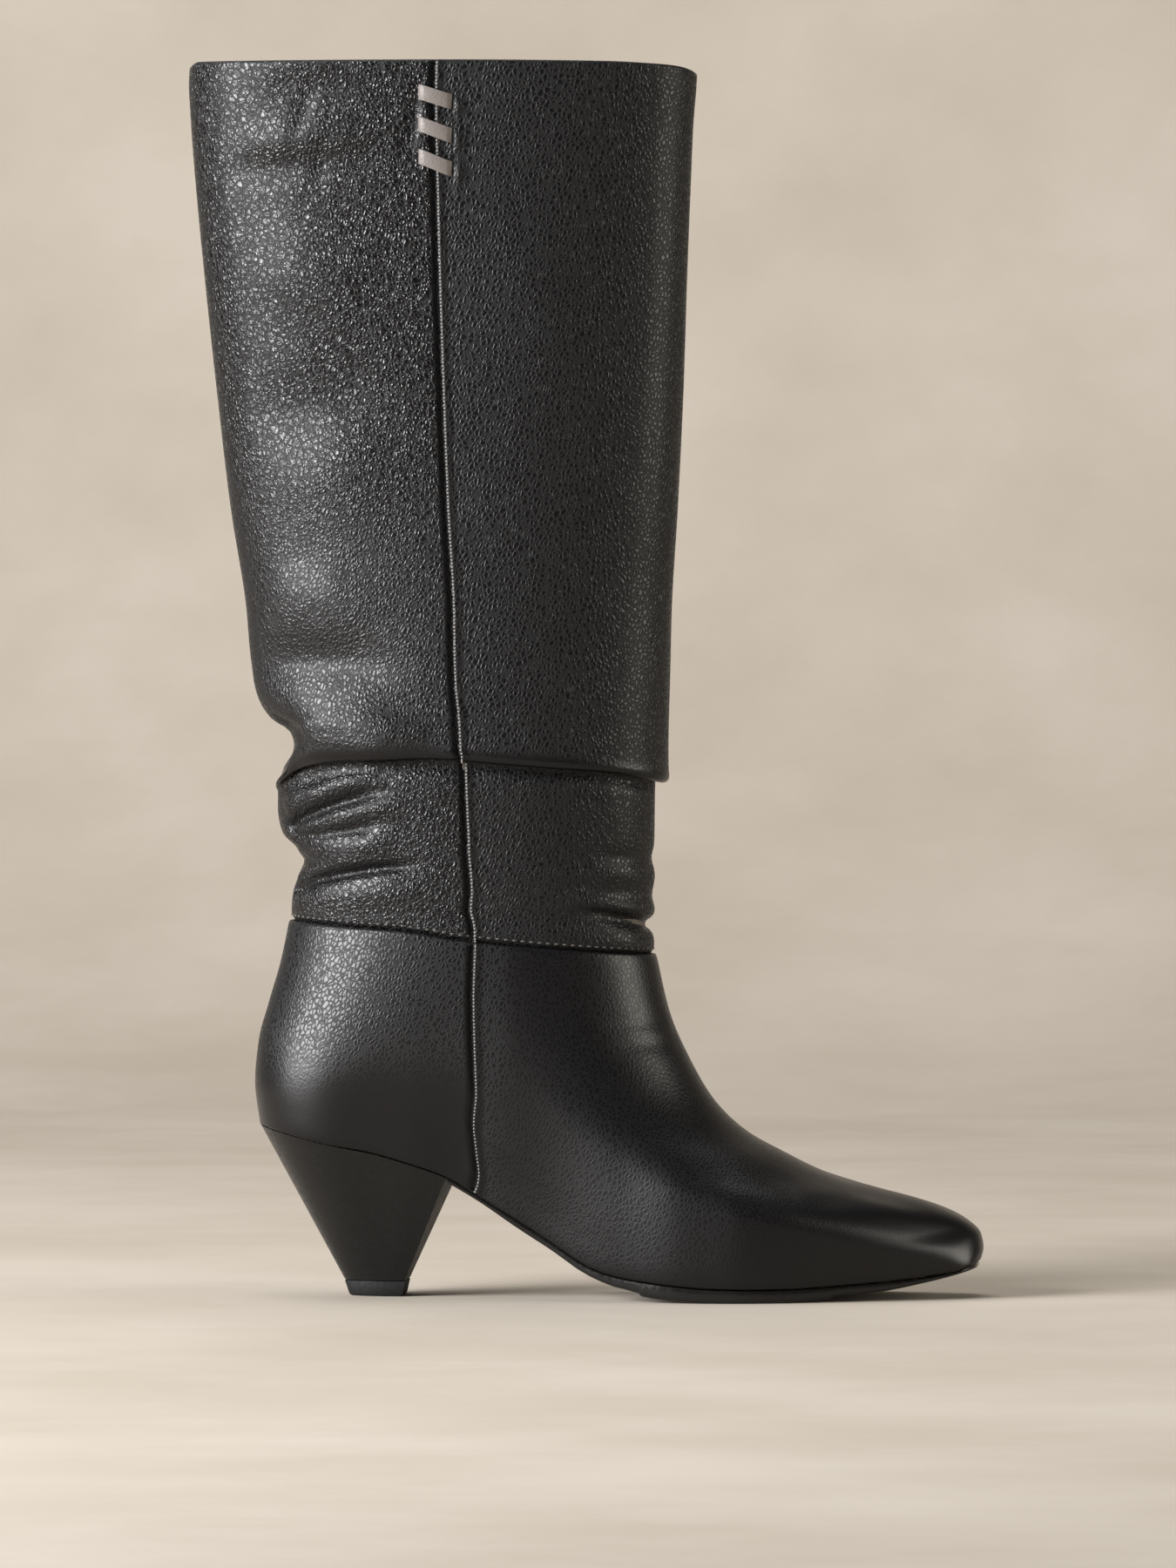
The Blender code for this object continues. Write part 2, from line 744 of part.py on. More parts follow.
def make_insole(parent):
    """Insole inside the upper, on the sole and the heel seat."""
    inset = FOOT_WALL + INSOLE_INSET
    rings = []
    for x in sorted(stations(HEEL_END + inset + 0.4, TOE_END - inset - 0.6, 18, FEATHER["x"])):
        low = feather(x)
        outer, inner = half_breadth(x, "outer", inset), half_breadth(x, "inner", inset)
        rings.append([
            Vector((x, outer, low)), Vector((x, inner, low)),
            Vector((x, inner, low + INSOLE_THICKNESS)), Vector((x, outer, low + INSOLE_THICKNESS)),
        ])
    bm = bmesh.new()
    loops = loft(bm, rings)
    bm.faces.new(loops[0])
    bm.faces.new(loops[-1])
    finish("insole", bm, finish_material("beige lining", (0.45, 0.38, 0.29), 0.7), parent)


def heel_outline(back, breast, half_width, count):
    """Half of a D: from the breast corner round to the back, as stations and half-widths."""
    length = breast - back
    places = stations(back, breast, count)[::-1]
    return [(x, half_width * nose(x - back, length * 0.92, 2.2)) for x in places]


def make_heel(parent):
    """Covered cone heel, from the seat down to its small foot."""
    count = 12
    seat = [(x, half_breadth(x, "inner", 0.3), half_breadth(x, "outer", 0.3))
            for x in stations(HEEL_END + 0.3, BREAST_TOP, count)[::-1]]
    foot = heel_outline(HEEL_FOOT_BACK, HEEL_FOOT_BREAST, HEEL_FOOT_HALF_WIDTH, count)
    foot_z = TOP_PIECE_HEIGHT + FIT_GAP
    rings = []
    for share in (0.0, 0.3, 0.6, 0.85, 1.0):
        inner, outer = [], []
        for (seat_x, seat_in, seat_out), (foot_x, foot_half) in zip(seat, foot):
            x = mix(foot_x, seat_x, share)
            z = mix(foot_z, feather(seat_x) - SEAT_GAP, share)
            inner.append(Vector((x, mix(foot_half, seat_in, share), z)))
            outer.append(Vector((x, mix(-foot_half, seat_out, share), z)))
        rings.append(inner[:-1] + [inner[-1]] + outer[-2::-1])
    bm = bmesh.new()
    loops = loft(bm, rings)
    bm.faces.new(loops[0])
    close_seat(bm, loops[-1])
    finish("heel", bm, finish_material("black heel cover", (0.012, 0.011, 0.011), 0.38), parent)


def close_seat(bm, loop):
    """Face the curved seat with strips across it, from the breast to the back."""
    count = len(loop)
    for i in range(count // 2):
        corners = [loop[i], loop[i + 1], loop[count - 2 - i], loop[count - 1 - i]]
        bm.faces.new(list(dict.fromkeys(corners)))


def make_top_piece(parent):
    """Rubber top piece under the heel, tapering to the floor."""
    rings = []
    for z, taper in ((0.0, TOP_PIECE_TAPER), (0.6, TOP_PIECE_TAPER - 0.4), (TOP_PIECE_HEIGHT, 0.0)):
        outline = heel_outline(HEEL_FOOT_BACK + taper, HEEL_FOOT_BREAST - taper * 0.6,
                               HEEL_FOOT_HALF_WIDTH - taper * 0.7, 8)
        half = [Vector((x, y, z)) for x, y in outline]
        rings.append(half + [Vector((spot.x, -spot.y, z)) for spot in half[-2::-1]])
    bm = bmesh.new()
    loops = loft(bm, rings)
    bm.faces.new(loops[0])
    bm.faces.new(loops[-1])
    finish("top_piece", bm, finish_material("black rubber", (0.01, 0.01, 0.01), 0.5), parent)


def boot_centre():
    """Middle of the boot's box on the floor, which becomes the origin."""
    back = min(UPPER_BACK["x"])
    spots = [foot_point(c / 100, v / 40, side) for c in range(101) for v in range(20)
             for side in SIDES]
    toe = max(spot.x for spot in spots)
    low, high = min(spot.y for spot in spots), max(spot.y for spot in spots)
    return Vector(((back + toe) / 2, (low + high) / 2, 0.0))


def main():
    for old in list(bpy.data.objects):
        bpy.data.objects.remove(old)
    boot = bpy.data.objects.new("slouch_boot", None)
    boot.location = -boot_centre() * MM
    bpy.context.scene.collection.objects.link(boot)
    make_outsole(boot)
    make_heel(boot)
    make_top_piece(boot)
    make_insole(boot)
    make_upper(boot)
    make_shaft(boot)
    make_thong(boot)


main()
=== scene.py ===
"""Looks of a right slouch boot in black grained leather, on a pale floor in soft light.

Sizes are in millimetres and become metres where a mesh is made. X runs from heel to toe, -Y is the
boot's outer side, +Z is up and Z 0 is the floor.
"""

from math import acos, cos, pi, radians, sin

import bmesh
import bpy
import numpy as np
from mathutils import Matrix, Vector


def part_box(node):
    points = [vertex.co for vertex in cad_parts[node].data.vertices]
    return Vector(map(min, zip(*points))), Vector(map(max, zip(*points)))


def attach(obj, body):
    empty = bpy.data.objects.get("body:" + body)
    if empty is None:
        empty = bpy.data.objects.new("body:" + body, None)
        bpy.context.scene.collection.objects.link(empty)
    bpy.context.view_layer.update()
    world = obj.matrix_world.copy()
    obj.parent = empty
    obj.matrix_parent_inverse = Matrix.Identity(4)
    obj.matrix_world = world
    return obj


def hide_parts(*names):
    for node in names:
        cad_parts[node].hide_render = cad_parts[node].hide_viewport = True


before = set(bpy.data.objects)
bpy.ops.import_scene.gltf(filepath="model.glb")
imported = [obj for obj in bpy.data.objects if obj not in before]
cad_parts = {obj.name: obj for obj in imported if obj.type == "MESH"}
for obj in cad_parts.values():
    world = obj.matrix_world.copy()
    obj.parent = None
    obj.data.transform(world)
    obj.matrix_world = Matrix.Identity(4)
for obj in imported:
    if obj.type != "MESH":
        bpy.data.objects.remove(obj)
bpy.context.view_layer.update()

MM = 0.001

# Driving sizes
HEEL_END = -112.8
TOE_END = 134.4
FOOT_WALL = 1.5
FIT_GAP = 0.3
SEAT_GAP = 0.4
ANKLE_HALF_WIDTH = 35.0
FOLD_HALF_WIDTH = 34.6
COLLAR_HALF_WIDTH = 34.0
BREAST_TOP = -46.6
HEEL_FOOT_BACK = -83.7
HEEL_FOOT_BREAST = -62.2
HEEL_FOOT_HALF_WIDTH = 10.5
TOP_PIECE_HEIGHT = 5.2
TOP_PIECE_TAPER = 1.8
BALL_BULGE = 2.6
COUNTER_BULGE = 2.2

# Fold of the slouch: the upper shaft hangs over the lower one, and eases out at the back
FOLD_STEP = 4.8
FOLD_CREASE_RADIUS = 0.35
FOLD_OVERLAP_BACK = 0.8
FOLD_OVERLAP_FRONT = 14.0
FOLD_OPENS_AT = 0.07
FOLD_STEPS = 6
OPEN_CREASE_RADIUS = 0.7
OPEN_ROLL_RADIUS = 1.1
OPEN_TURN = 0.45
OPEN_HEIGHT = 172.8
ROLLS_FADE_AT = 0.4
OVERLAP_GROWS_FROM = 0.1
PINCH_FADES_AT = 0.2
FOLD_ROLLS_FADE_AT = 0.1

# Thong whipped through slits across the outer side seam
THONG_WIDTH = 5.3
THONG_THICKNESS = 1.1
SLIT_BACK = -54.8
SLIT_FRONT = -43.9
THONG_EDGE_RADIUS = 0.25

SIDES = {"outer": -1.0, "inner": 1.0}


def columns(names, *rows):
    """A short table, as one list of numbers for each named column."""
    return {name: [row[i] for row in rows] for i, name in enumerate(names.split())}


class Line:
    """A smooth line through a table's points that never swings past them."""

    def __init__(self, table, along, across):
        self.xs = table[along]
        self.ys = table[across]
        steps = [b - a for a, b in zip(self.xs, self.xs[1:])]
        rises = [(b - a) / step for a, b, step in zip(self.ys, self.ys[1:], steps)]
        inner = [2 * a * b / (a + b) if a * b > 0 else 0.0 for a, b in zip(rises, rises[1:])]
        self.slopes = [rises[0]] + inner + [rises[-1]]

    def __call__(self, x):
        xs = self.xs
        x = min(max(x, xs[0]), xs[-1])
        i = 0
        while i < len(xs) - 2 and x > xs[i + 1]:
            i += 1
        span = xs[i + 1] - xs[i]
        t = (x - xs[i]) / span
        start = (1 + 2 * t) * (1 - t) ** 2 * self.ys[i] + t * (1 - t) ** 2 * span * self.slopes[i]
        end = t * t * (3 - 2 * t) * self.ys[i + 1] + t * t * (t - 1) * span * self.slopes[i + 1]
        return start + end


# Last bottom seen from above: half-breadths of the feather edge at each station
PLAN = columns(
    "x outer inner",
    (-113, 27.5, 27.5), (-85, 28.5, 28.5), (-60, 28.5, 28), (-40, 27, 25.5), (-17, 28, 23.5),
    (12, 35, 25), (36, 40.5, 30), (52, 41, 34), (66, 38, 36.5), (87, 29.5, 35), (107, 20, 30.5),
    (122, 12.5, 26.5), (135, 6.5, 23),
)

# Feather edge seen from the side: seat, waist, ball and toe spring
FEATHER = columns(
    "x z",
    (-113, 59.2), (-104, 57), (-88, 53.2), (-72, 50.2), (-61, 47.1), (-48.6, 42.9), (-44, 40.7),
    (-40, 38.2), (-22, 27.2), (-10, 19.6), (2, 12), (7, 10), (12, 8.6), (20, 7.2), (30, 6),
    (46, 4.8), (62, 4.6), (75, 4.8), (87, 5.5), (103, 6.5), (115, 7.7), (127, 9.7), (135, 12.8),
)

# Underside of the sole, with the forefoot pad's steps
SOLE_BOTTOM = columns(
    "x z",
    (-46, 40), (-35, 33.4), (-22, 24.6), (-10, 17), (2, 9.1), (12, 5.1), (20, 3.2), (21, 2.2),
    (32, 0.8), (42, 0), (68, 0), (78, 0.5), (85, 1.1), (86, 2.1), (100, 3), (115, 5.6),
    (127, 8.4), (134, 10.6),
)

# Heel back seen from the side, from the feather edge up to the ankle edge
COUNTER_BACK = columns(
    "v x z",
    (0, -112.8, 59.2), (0.2, -114.5, 73.3), (0.4, -113.3, 87.3), (0.6, -109.6, 101.3),
    (0.8, -105.6, 115.1), (1, -102.7, 129),
)

# Toe and instep seen from the side, from the feather edge up to the ankle edge
INSTEP = columns(
    "v x z",
    (0, 134.4, 12.8), (0.04, 135.3, 16.8), (0.08, 134.3, 21.8), (0.12, 130.2, 25.8),
    (0.2, 117.3, 32.3), (0.3, 99, 37.8), (0.4, 82, 42.7), (0.5, 67, 49.9), (0.6, 54.7, 56.8),
    (0.7, 44, 66.8), (0.8, 35, 81.6), (0.9, 28, 97.8), (1, 23.4, 117.6),
)

# Ankle edge of the foot part, from back to front
ANKLE_EDGE = columns(
    "c z",
    (0, 129), (0.17, 127.4), (0.32, 126.2), (0.5, 122.8), (0.66, 120.8), (0.8, 119.4),
    (1, 117.6),
)

# How the foot part's ring ends round off, from the feather edge up
RING_ENDS = columns(
    "v back_radius back_power toe_radius toe_power",
    (0, 30, 2.2, 9, 3.6), (0.05, 31, 2.2, 20, 3), (0.12, 33, 2.2, 42, 2.5),
    (0.3, 38, 2.2, 62, 2.25), (0.6, 50, 2.15, 66, 2.15), (1, 63, 2.1, 63, 2.1),
)

# Side seams, as a share of the way from the back to the front
FOOT_SEAM = columns("v c", (0, 0.307), (0.11, 0.321), (0.35, 0.379), (0.6, 0.45), (0.75, 0.483),
                    (0.93, 0.518), (1, 0.53))
LOWER_SEAM = columns("z c", (120, 0.53), (136, 0.5255), (152.6, 0.519), (170, 0.513), (200, 0.508))
UPPER_SEAM = columns("z c", (176, 0.5), (200, 0.506), (236, 0.5105), (280, 0.507), (325, 0.506),
                     (370, 0.507), (424, 0.505))

# Back edge of the lower shaft, with its pinch and the rolls above and below it
LOWER_BACK = columns(
    "z x",
    (130.4, -101.7), (134, -101.9), (138.8, -101.3), (143.8, -99.7), (148.8, -97.4),
    (152.3, -97.6), (155.3, -101), (157.8, -104.4), (162.8, -106.2), (167.8, -106.7),
    (172.8, -106.7),
)

# The same edge with the rolls left out, which the sides of the lower shaft follow
LOWER_BACK_CALM = columns("z x", (131, -101.7), (172.8, -104))

# Back edge of the upper shaft above its pinch, as heights and places
HIGH_BACK = (
    (205.8, -113.7), (212.8, -115.3), (235.8, -117.5), (260.8, -121.6), (308.8, -127.5),
    (356.8, -132.6), (404.8, -136.7), (417.8, -137.2), (424.8, -136.6),
)

# The whole edge, with its pinch above the fold
UPPER_BACK = columns(
    "z x",
    (177.8, -105.9), (180.8, -104.2), (184.8, -101.4), (188.8, -100.8), (192.8, -102),
    (196.3, -107), (199.8, -110.6), *HIGH_BACK,
)

# The same edge with the pinch left out
UPPER_BACK_CALM = columns("z x", (176.8, -109.4), (190.8, -111), *HIGH_BACK)

# Front edge of the lower shaft, under the fold, with its two creases
LOWER_FRONT = columns(
    "z x",
    (119, 22.4), (123.4, 22.5), (128, 20.9), (131.8, 22.2), (140.8, 22.6), (148.8, 22.3),
    (153.8, 22.7), (180.8, 23.1),
)

# Front edge of the upper shaft, from the fold up to the collar
UPPER_FRONT = columns(
    "z x",
    (176.8, 27.8), (186.8, 27.6), (212.8, 28.2), (236.8, 28.8), (260.8, 30.3), (308.8, 32.7),
    (356.8, 34.3), (404.8, 36.4), (418.8, 37.4), (424.8, 37.2),
)

# Shaft rows at the ankle edge: height above the edge, half the width, and the two ends
LAP_ROWS = columns(
    "rise half_width back front",
    (-7, 32.6, -100.5, 21.1), (-0.2, 32.6, -100.6, 21.3), (1.4, 33.8, -101.7, 22.4),
)

# Lower shaft's rows: heights at the back, the side seam and the front, and half the width
LOWER_ROWS = columns(
    "back side front half_width",
    (134, 128.4, 123.4, 34), (139.3, 133.4, 128, 34), (144.8, 139.8, 133.3, 34.2),
    (150.3, 146.3, 141.8, 34.3), (154.4, 152.3, 148.8, 34.3), (157.8, 158.3, 154.8, 34.4),
    (162.3, 166.3, 162.8, 34.5), (167.3, 175.3, 170.8, 34.6),
)

# Upper shaft's rows above the fold, from the slouch to just under the collar
UPPER_ROWS = columns(
    "back side front half_width",
    (206.8, 206.8, 206.8, 38.5), (216.8, 216.8, 216.8, 38.1), (236.8, 236.8, 236.8, 37.3),
    (268.8, 268.8, 268.8, 36.5), (308.8, 308.8, 308.8, 35.6), (348.8, 348.8, 348.8, 34.6),
    (378.8, 378.8, 378.8, 34), (404.8, 404.8, 404.8, 34), (416.8, 417.4, 414, 34),
)
PINCH_ROWS = (0.07, 0.18, 0.31, 0.45, 0.58, 0.72, 0.86)

# Collar edge, from back to front
COLLAR = columns(
    "c z",
    (0, 421), (0.02, 422.8), (0.5, 422.8), (0.83, 422.4), (0.925, 421.7), (0.96, 421.2),
    (0.985, 420.4), (1, 418.8),
)

# Lower edge of the hanging fold, from back to front
LIP = columns(
    "c z",
    (0, 176), (0.02, 177.6), (0.06, 180.6), (0.13, 183.2), (0.22, 184.8), (0.35, 185),
    (0.45, 184.6), (0.58, 183.2), (0.74, 181.4), (0.85, 180.2), (0.94, 178.4), (1, 176.1),
)

# Heights of the three outside bars of the thong where they leave and enter the slits
THONG_BARS = columns("back front", (411.7, 408.4), (400.8, 396.9), (389.8, 385.5))

plan = {side: Line(PLAN, "x", side) for side in SIDES}
feather = Line(FEATHER, "x", "z")
sole_bottom = Line(SOLE_BOTTOM, "x", "z")
counter_x = Line(COUNTER_BACK, "v", "x")
counter_z = Line(COUNTER_BACK, "v", "z")
instep_x = Line(INSTEP, "v", "x")
instep_z = Line(INSTEP, "v", "z")
ankle_edge = Line(ANKLE_EDGE, "c", "z")
ring_end = {name: Line(RING_ENDS, "v", name) for name in RING_ENDS if name != "v"}
foot_seam = Line(FOOT_SEAM, "v", "c")
lower_back = Line(LOWER_BACK, "z", "x")
lower_back_calm = Line(LOWER_BACK_CALM, "z", "x")
upper_back = Line(UPPER_BACK, "z", "x")
upper_back_calm = Line(UPPER_BACK_CALM, "z", "x")
lower_front = Line(LOWER_FRONT, "z", "x")
upper_front = Line(UPPER_FRONT, "z", "x")
lip = Line(LIP, "c", "z")
collar = Line(COLLAR, "c", "z")
lower_seam = Line(LOWER_SEAM, "z", "c")
upper_seam = Line(UPPER_SEAM, "z", "c")


def mix(a, b, share):
    """The value that lies the given share of the way from a to b."""
    return a + (b - a) * share


def ease(t):
    """A soft step from 0 to 1."""
    t = min(max(t, 0.0), 1.0)
    return t * t * (3 - 2 * t)


def nose(distance, radius, power):
    """How full an outline is at a distance from its end: 0 at the tip, 1 past the radius."""
    if distance >= radius:
        return 1.0
    return (1 - (1 - max(distance, 0.0) / radius) ** power) ** (1 / power)


def foot_profile(c, v):
    """Side view of the foot part, blended from its four edges: heel, toe, feather and ankle."""
    low_corners = mix(feather(HEEL_END), feather(TOE_END), c)
    high_corners = mix(ankle_edge(0.0), ankle_edge(1.0), c)
    low_edge = feather(mix(HEEL_END, TOE_END, c))
    z = mix(low_edge, ankle_edge(c), v) + mix(counter_z(v), instep_z(v), c)
    return mix(counter_x(v), instep_x(v), c), z - mix(low_corners, high_corners, v)


def foot_point(c, v, side):
    """A point of the foot part's outer face."""
    x, z = foot_profile(c, v)
    heel_x, toe_x = counter_x(v), instep_x(v)
    back = nose(x - heel_x, ring_end["back_radius"](v), ring_end["back_power"](v))
    front = nose(toe_x - x, ring_end["toe_radius"](v), ring_end["toe_power"](v))
    bulge = mix(COUNTER_BULGE, BALL_BULGE, ease((c - 0.2) / 0.3)) * sin(pi * v ** 0.6)
    breadth = mix(plan[side](x), ANKLE_HALF_WIDTH, ease(v)) + bulge
    middle = 0.5 * (plan["inner"](x) - plan["outer"](x)) * (1 - ease(v))
    y = SIDES[side] * breadth * back * front
    return Vector((x, y + middle * (1 - back * front), z))


def shaft_ring(c, side, back_x, calm_x, front_x, half_width, z, fade_at):
    """A point of the oval that has the given back edge, front edge and half-width."""
    length = front_x - calm_x
    fade = max(0.0, 1 - c / fade_at) ** 2
    x = mix(calm_x, front_x, c) + (back_x - calm_x) * fade
    fullness = nose(c * length, length / 2, 2.1) * nose((1 - c) * length, length / 2, 2.1)
    return Vector((x, SIDES[side] * half_width * fullness, z))


def plain_row(rows, i, back_line, calm_line, front_line):
    """The ring of one row of the lower or upper shaft, as a function of place and side."""
    back, side_z, front = rows["back"][i], rows["side"][i], rows["front"][i]
    height = Line({"c": [0.0, MIDDLE_PLACE, 1.0], "z": [back, side_z, front]}, "c", "z")

    def point(c, side):
        return shaft_ring(c, side, back_line(back), calm_line(back), front_line(front),
                          rows["half_width"][i], height(c), ROLLS_FADE_AT)
    return point


def lap_row(i):
    """The ring of one row that follows the foot part's ankle edge."""
    back, front = LAP_ROWS["back"][i], LAP_ROWS["front"][i]

    def point(c, side):
        z = ankle_edge(c) + LAP_ROWS["rise"][i]
        return shaft_ring(c, side, back, back, front, LAP_ROWS["half_width"][i], z, ROLLS_FADE_AT)
    return point


def fold_path(c):
    """The fold in section at one place round the shaft, as (out, height) along the leather.

    The leather turns outwards and down in a tight crease, runs down, and turns up again in a
    roll. At the back the turns are slight, and the fold eases out.
    """
    opened = 1 - max(0.0, 1 - c / FOLD_OPENS_AT) ** 2
    turn = mix(OPEN_TURN, pi, opened)
    crease = mix(OPEN_CREASE_RADIUS, FOLD_CREASE_RADIUS, opened)
    step = FOLD_STEP * mix(0.4, 1.0, ease(c / 0.18))
    roll = mix(OPEN_ROLL_RADIUS, step / 2 - FOLD_CREASE_RADIUS, opened)
    flat = mix(FOLD_OVERLAP_BACK, FOLD_OVERLAP_FRONT, ease((c - OVERLAP_GROWS_FROM) / 0.4))
    start = mix(OPEN_HEIGHT, lip(c) + flat + roll, opened)
    path = [(0.0, mix(OPEN_HEIGHT - 2, lip(c), opened))]
    for i in range(FOLD_STEPS + 1):
        angle = turn * i / FOLD_STEPS
        path.append((crease * (1 - cos(angle)), start + crease * sin(angle)))
    out, height = path[-1]
    out += flat * sin(turn)
    height += flat * cos(turn)
    for i in range(FOLD_STEPS + 1):
        angle = turn * (1 - i / FOLD_STEPS)
        path.append((out + roll * (cos(angle) - cos(turn)), height + roll * (sin(turn) - sin(angle))))
    return path


def fold_row(i):
    """The ring of one row of the fold."""
    def point(c, side):
        out, z = fold_path(c)[i]
        back = lower_back(OPEN_HEIGHT) - out
        calm = lower_back_calm(OPEN_HEIGHT) - out
        front = lower_front(LOWER_FRONT["z"][-1]) + out
        return shaft_ring(c, side, back, calm, front, FOLD_HALF_WIDTH + out, z,
                          FOLD_ROLLS_FADE_AT)
    return point


def pinch_row(share):
    """The ring of one row between the fold and the first plain row of the upper shaft."""
    top = UPPER_ROWS["back"][0]
    back_z = mix(fold_path(0.0)[-1][1], top, share)
    half_width = mix(FOLD_HALF_WIDTH + FOLD_STEP, UPPER_ROWS["half_width"][0], share)

    def point(c, side):
        z = mix(fold_path(c)[-1][1], top, share)
        return shaft_ring(c, side, upper_back(back_z), upper_back_calm(back_z), upper_front(z),
                          half_width, z, PINCH_FADES_AT)
    return point


def collar_row(c, side):
    """The shaft's top edge."""
    return shaft_ring(c, side, upper_back(COLLAR["z"][0]), upper_back_calm(COLLAR["z"][0]),
                      upper_front(COLLAR["z"][-1]), COLLAR_HALF_WIDTH, collar(c), ROLLS_FADE_AT)


def shaft_rows():
    """Every row of the shaft in order along the leather, each a function of place and side."""
    rows = [lap_row(i) for i in range(len(LAP_ROWS["rise"]))]
    rows += [plain_row(LOWER_ROWS, i, lower_back, lower_back_calm, lower_front)
             for i in range(len(LOWER_ROWS["back"]))]
    rows += [fold_row(i) for i in range(len(fold_path(0.5)))]
    rows += [pinch_row(share) for share in PINCH_ROWS]
    rows += [plain_row(UPPER_ROWS, i, upper_back, upper_back_calm, upper_front)
             for i in range(len(UPPER_ROWS["back"]))]
    return rows + [collar_row]


def shaft_seam(i, z):
    """Where the side seam crosses a row of the shaft, which changes line in the fold."""
    hanging_from = len(LAP_ROWS["rise"]) + len(LOWER_ROWS["back"]) + FOLD_STEPS + 2
    return lower_seam(z) if i < hanging_from else upper_seam(z)


def half_breadth(x, side, inset):
    """Half-breadth of the last bottom at a station, pulled in by an inset."""
    back = nose(x - HEEL_END - inset, ring_end["back_radius"](0), ring_end["back_power"](0))
    front = nose(TOE_END - inset - x, ring_end["toe_radius"](0), ring_end["toe_power"](0))
    middle = 0.5 * (plan["inner"](x) - plan["outer"](x))
    breadth = plan[side](x) - inset
    return SIDES[side] * breadth * back * front + middle * (1 - back * front)


def stations(start, end, count, extra=()):
    """Stations from start to end, close together at both ends, with the extra ones that fit."""
    spread = [mix(start, end, (1 - cos(pi * i / count)) / 2) for i in range(count + 1)]
    return spread + [x for x in extra if start < x < end]


def heel_outline(back, breast, half_width, count):
    """Half of a D: from the breast corner round to the back, as stations and half-widths."""
    length = breast - back
    places = stations(back, breast, count)[::-1]
    return [(x, half_width * nose(x - back, length * 0.92, 2.2)) for x in places]


# Lining rows from the bottom up: share of the height, the two ends and half the width
LINING = columns(
    "share back front half_width",
    (0, -99, 19.6, 31.1), (0.06, -98, 19.6, 31.6), (0.1, -95, 19.4, 32), (0.14, -97, 20, 32.2),
    (0.2, -99, 20.8, 32.4), (0.26, -99, 21, 32.6), (0.3, -104.5, 21.6, 33.2),
    (0.36, -110.5, 23.5, 32.6), (0.48, -117.5, 26.5, 32.6), (0.62, -124, 29.5, 31.8),
    (0.78, -129.5, 31.5, 30.8), (0.92, -133.5, 33.5, 30.8), (0.985, -135.4, 35.6, 32.4),
)

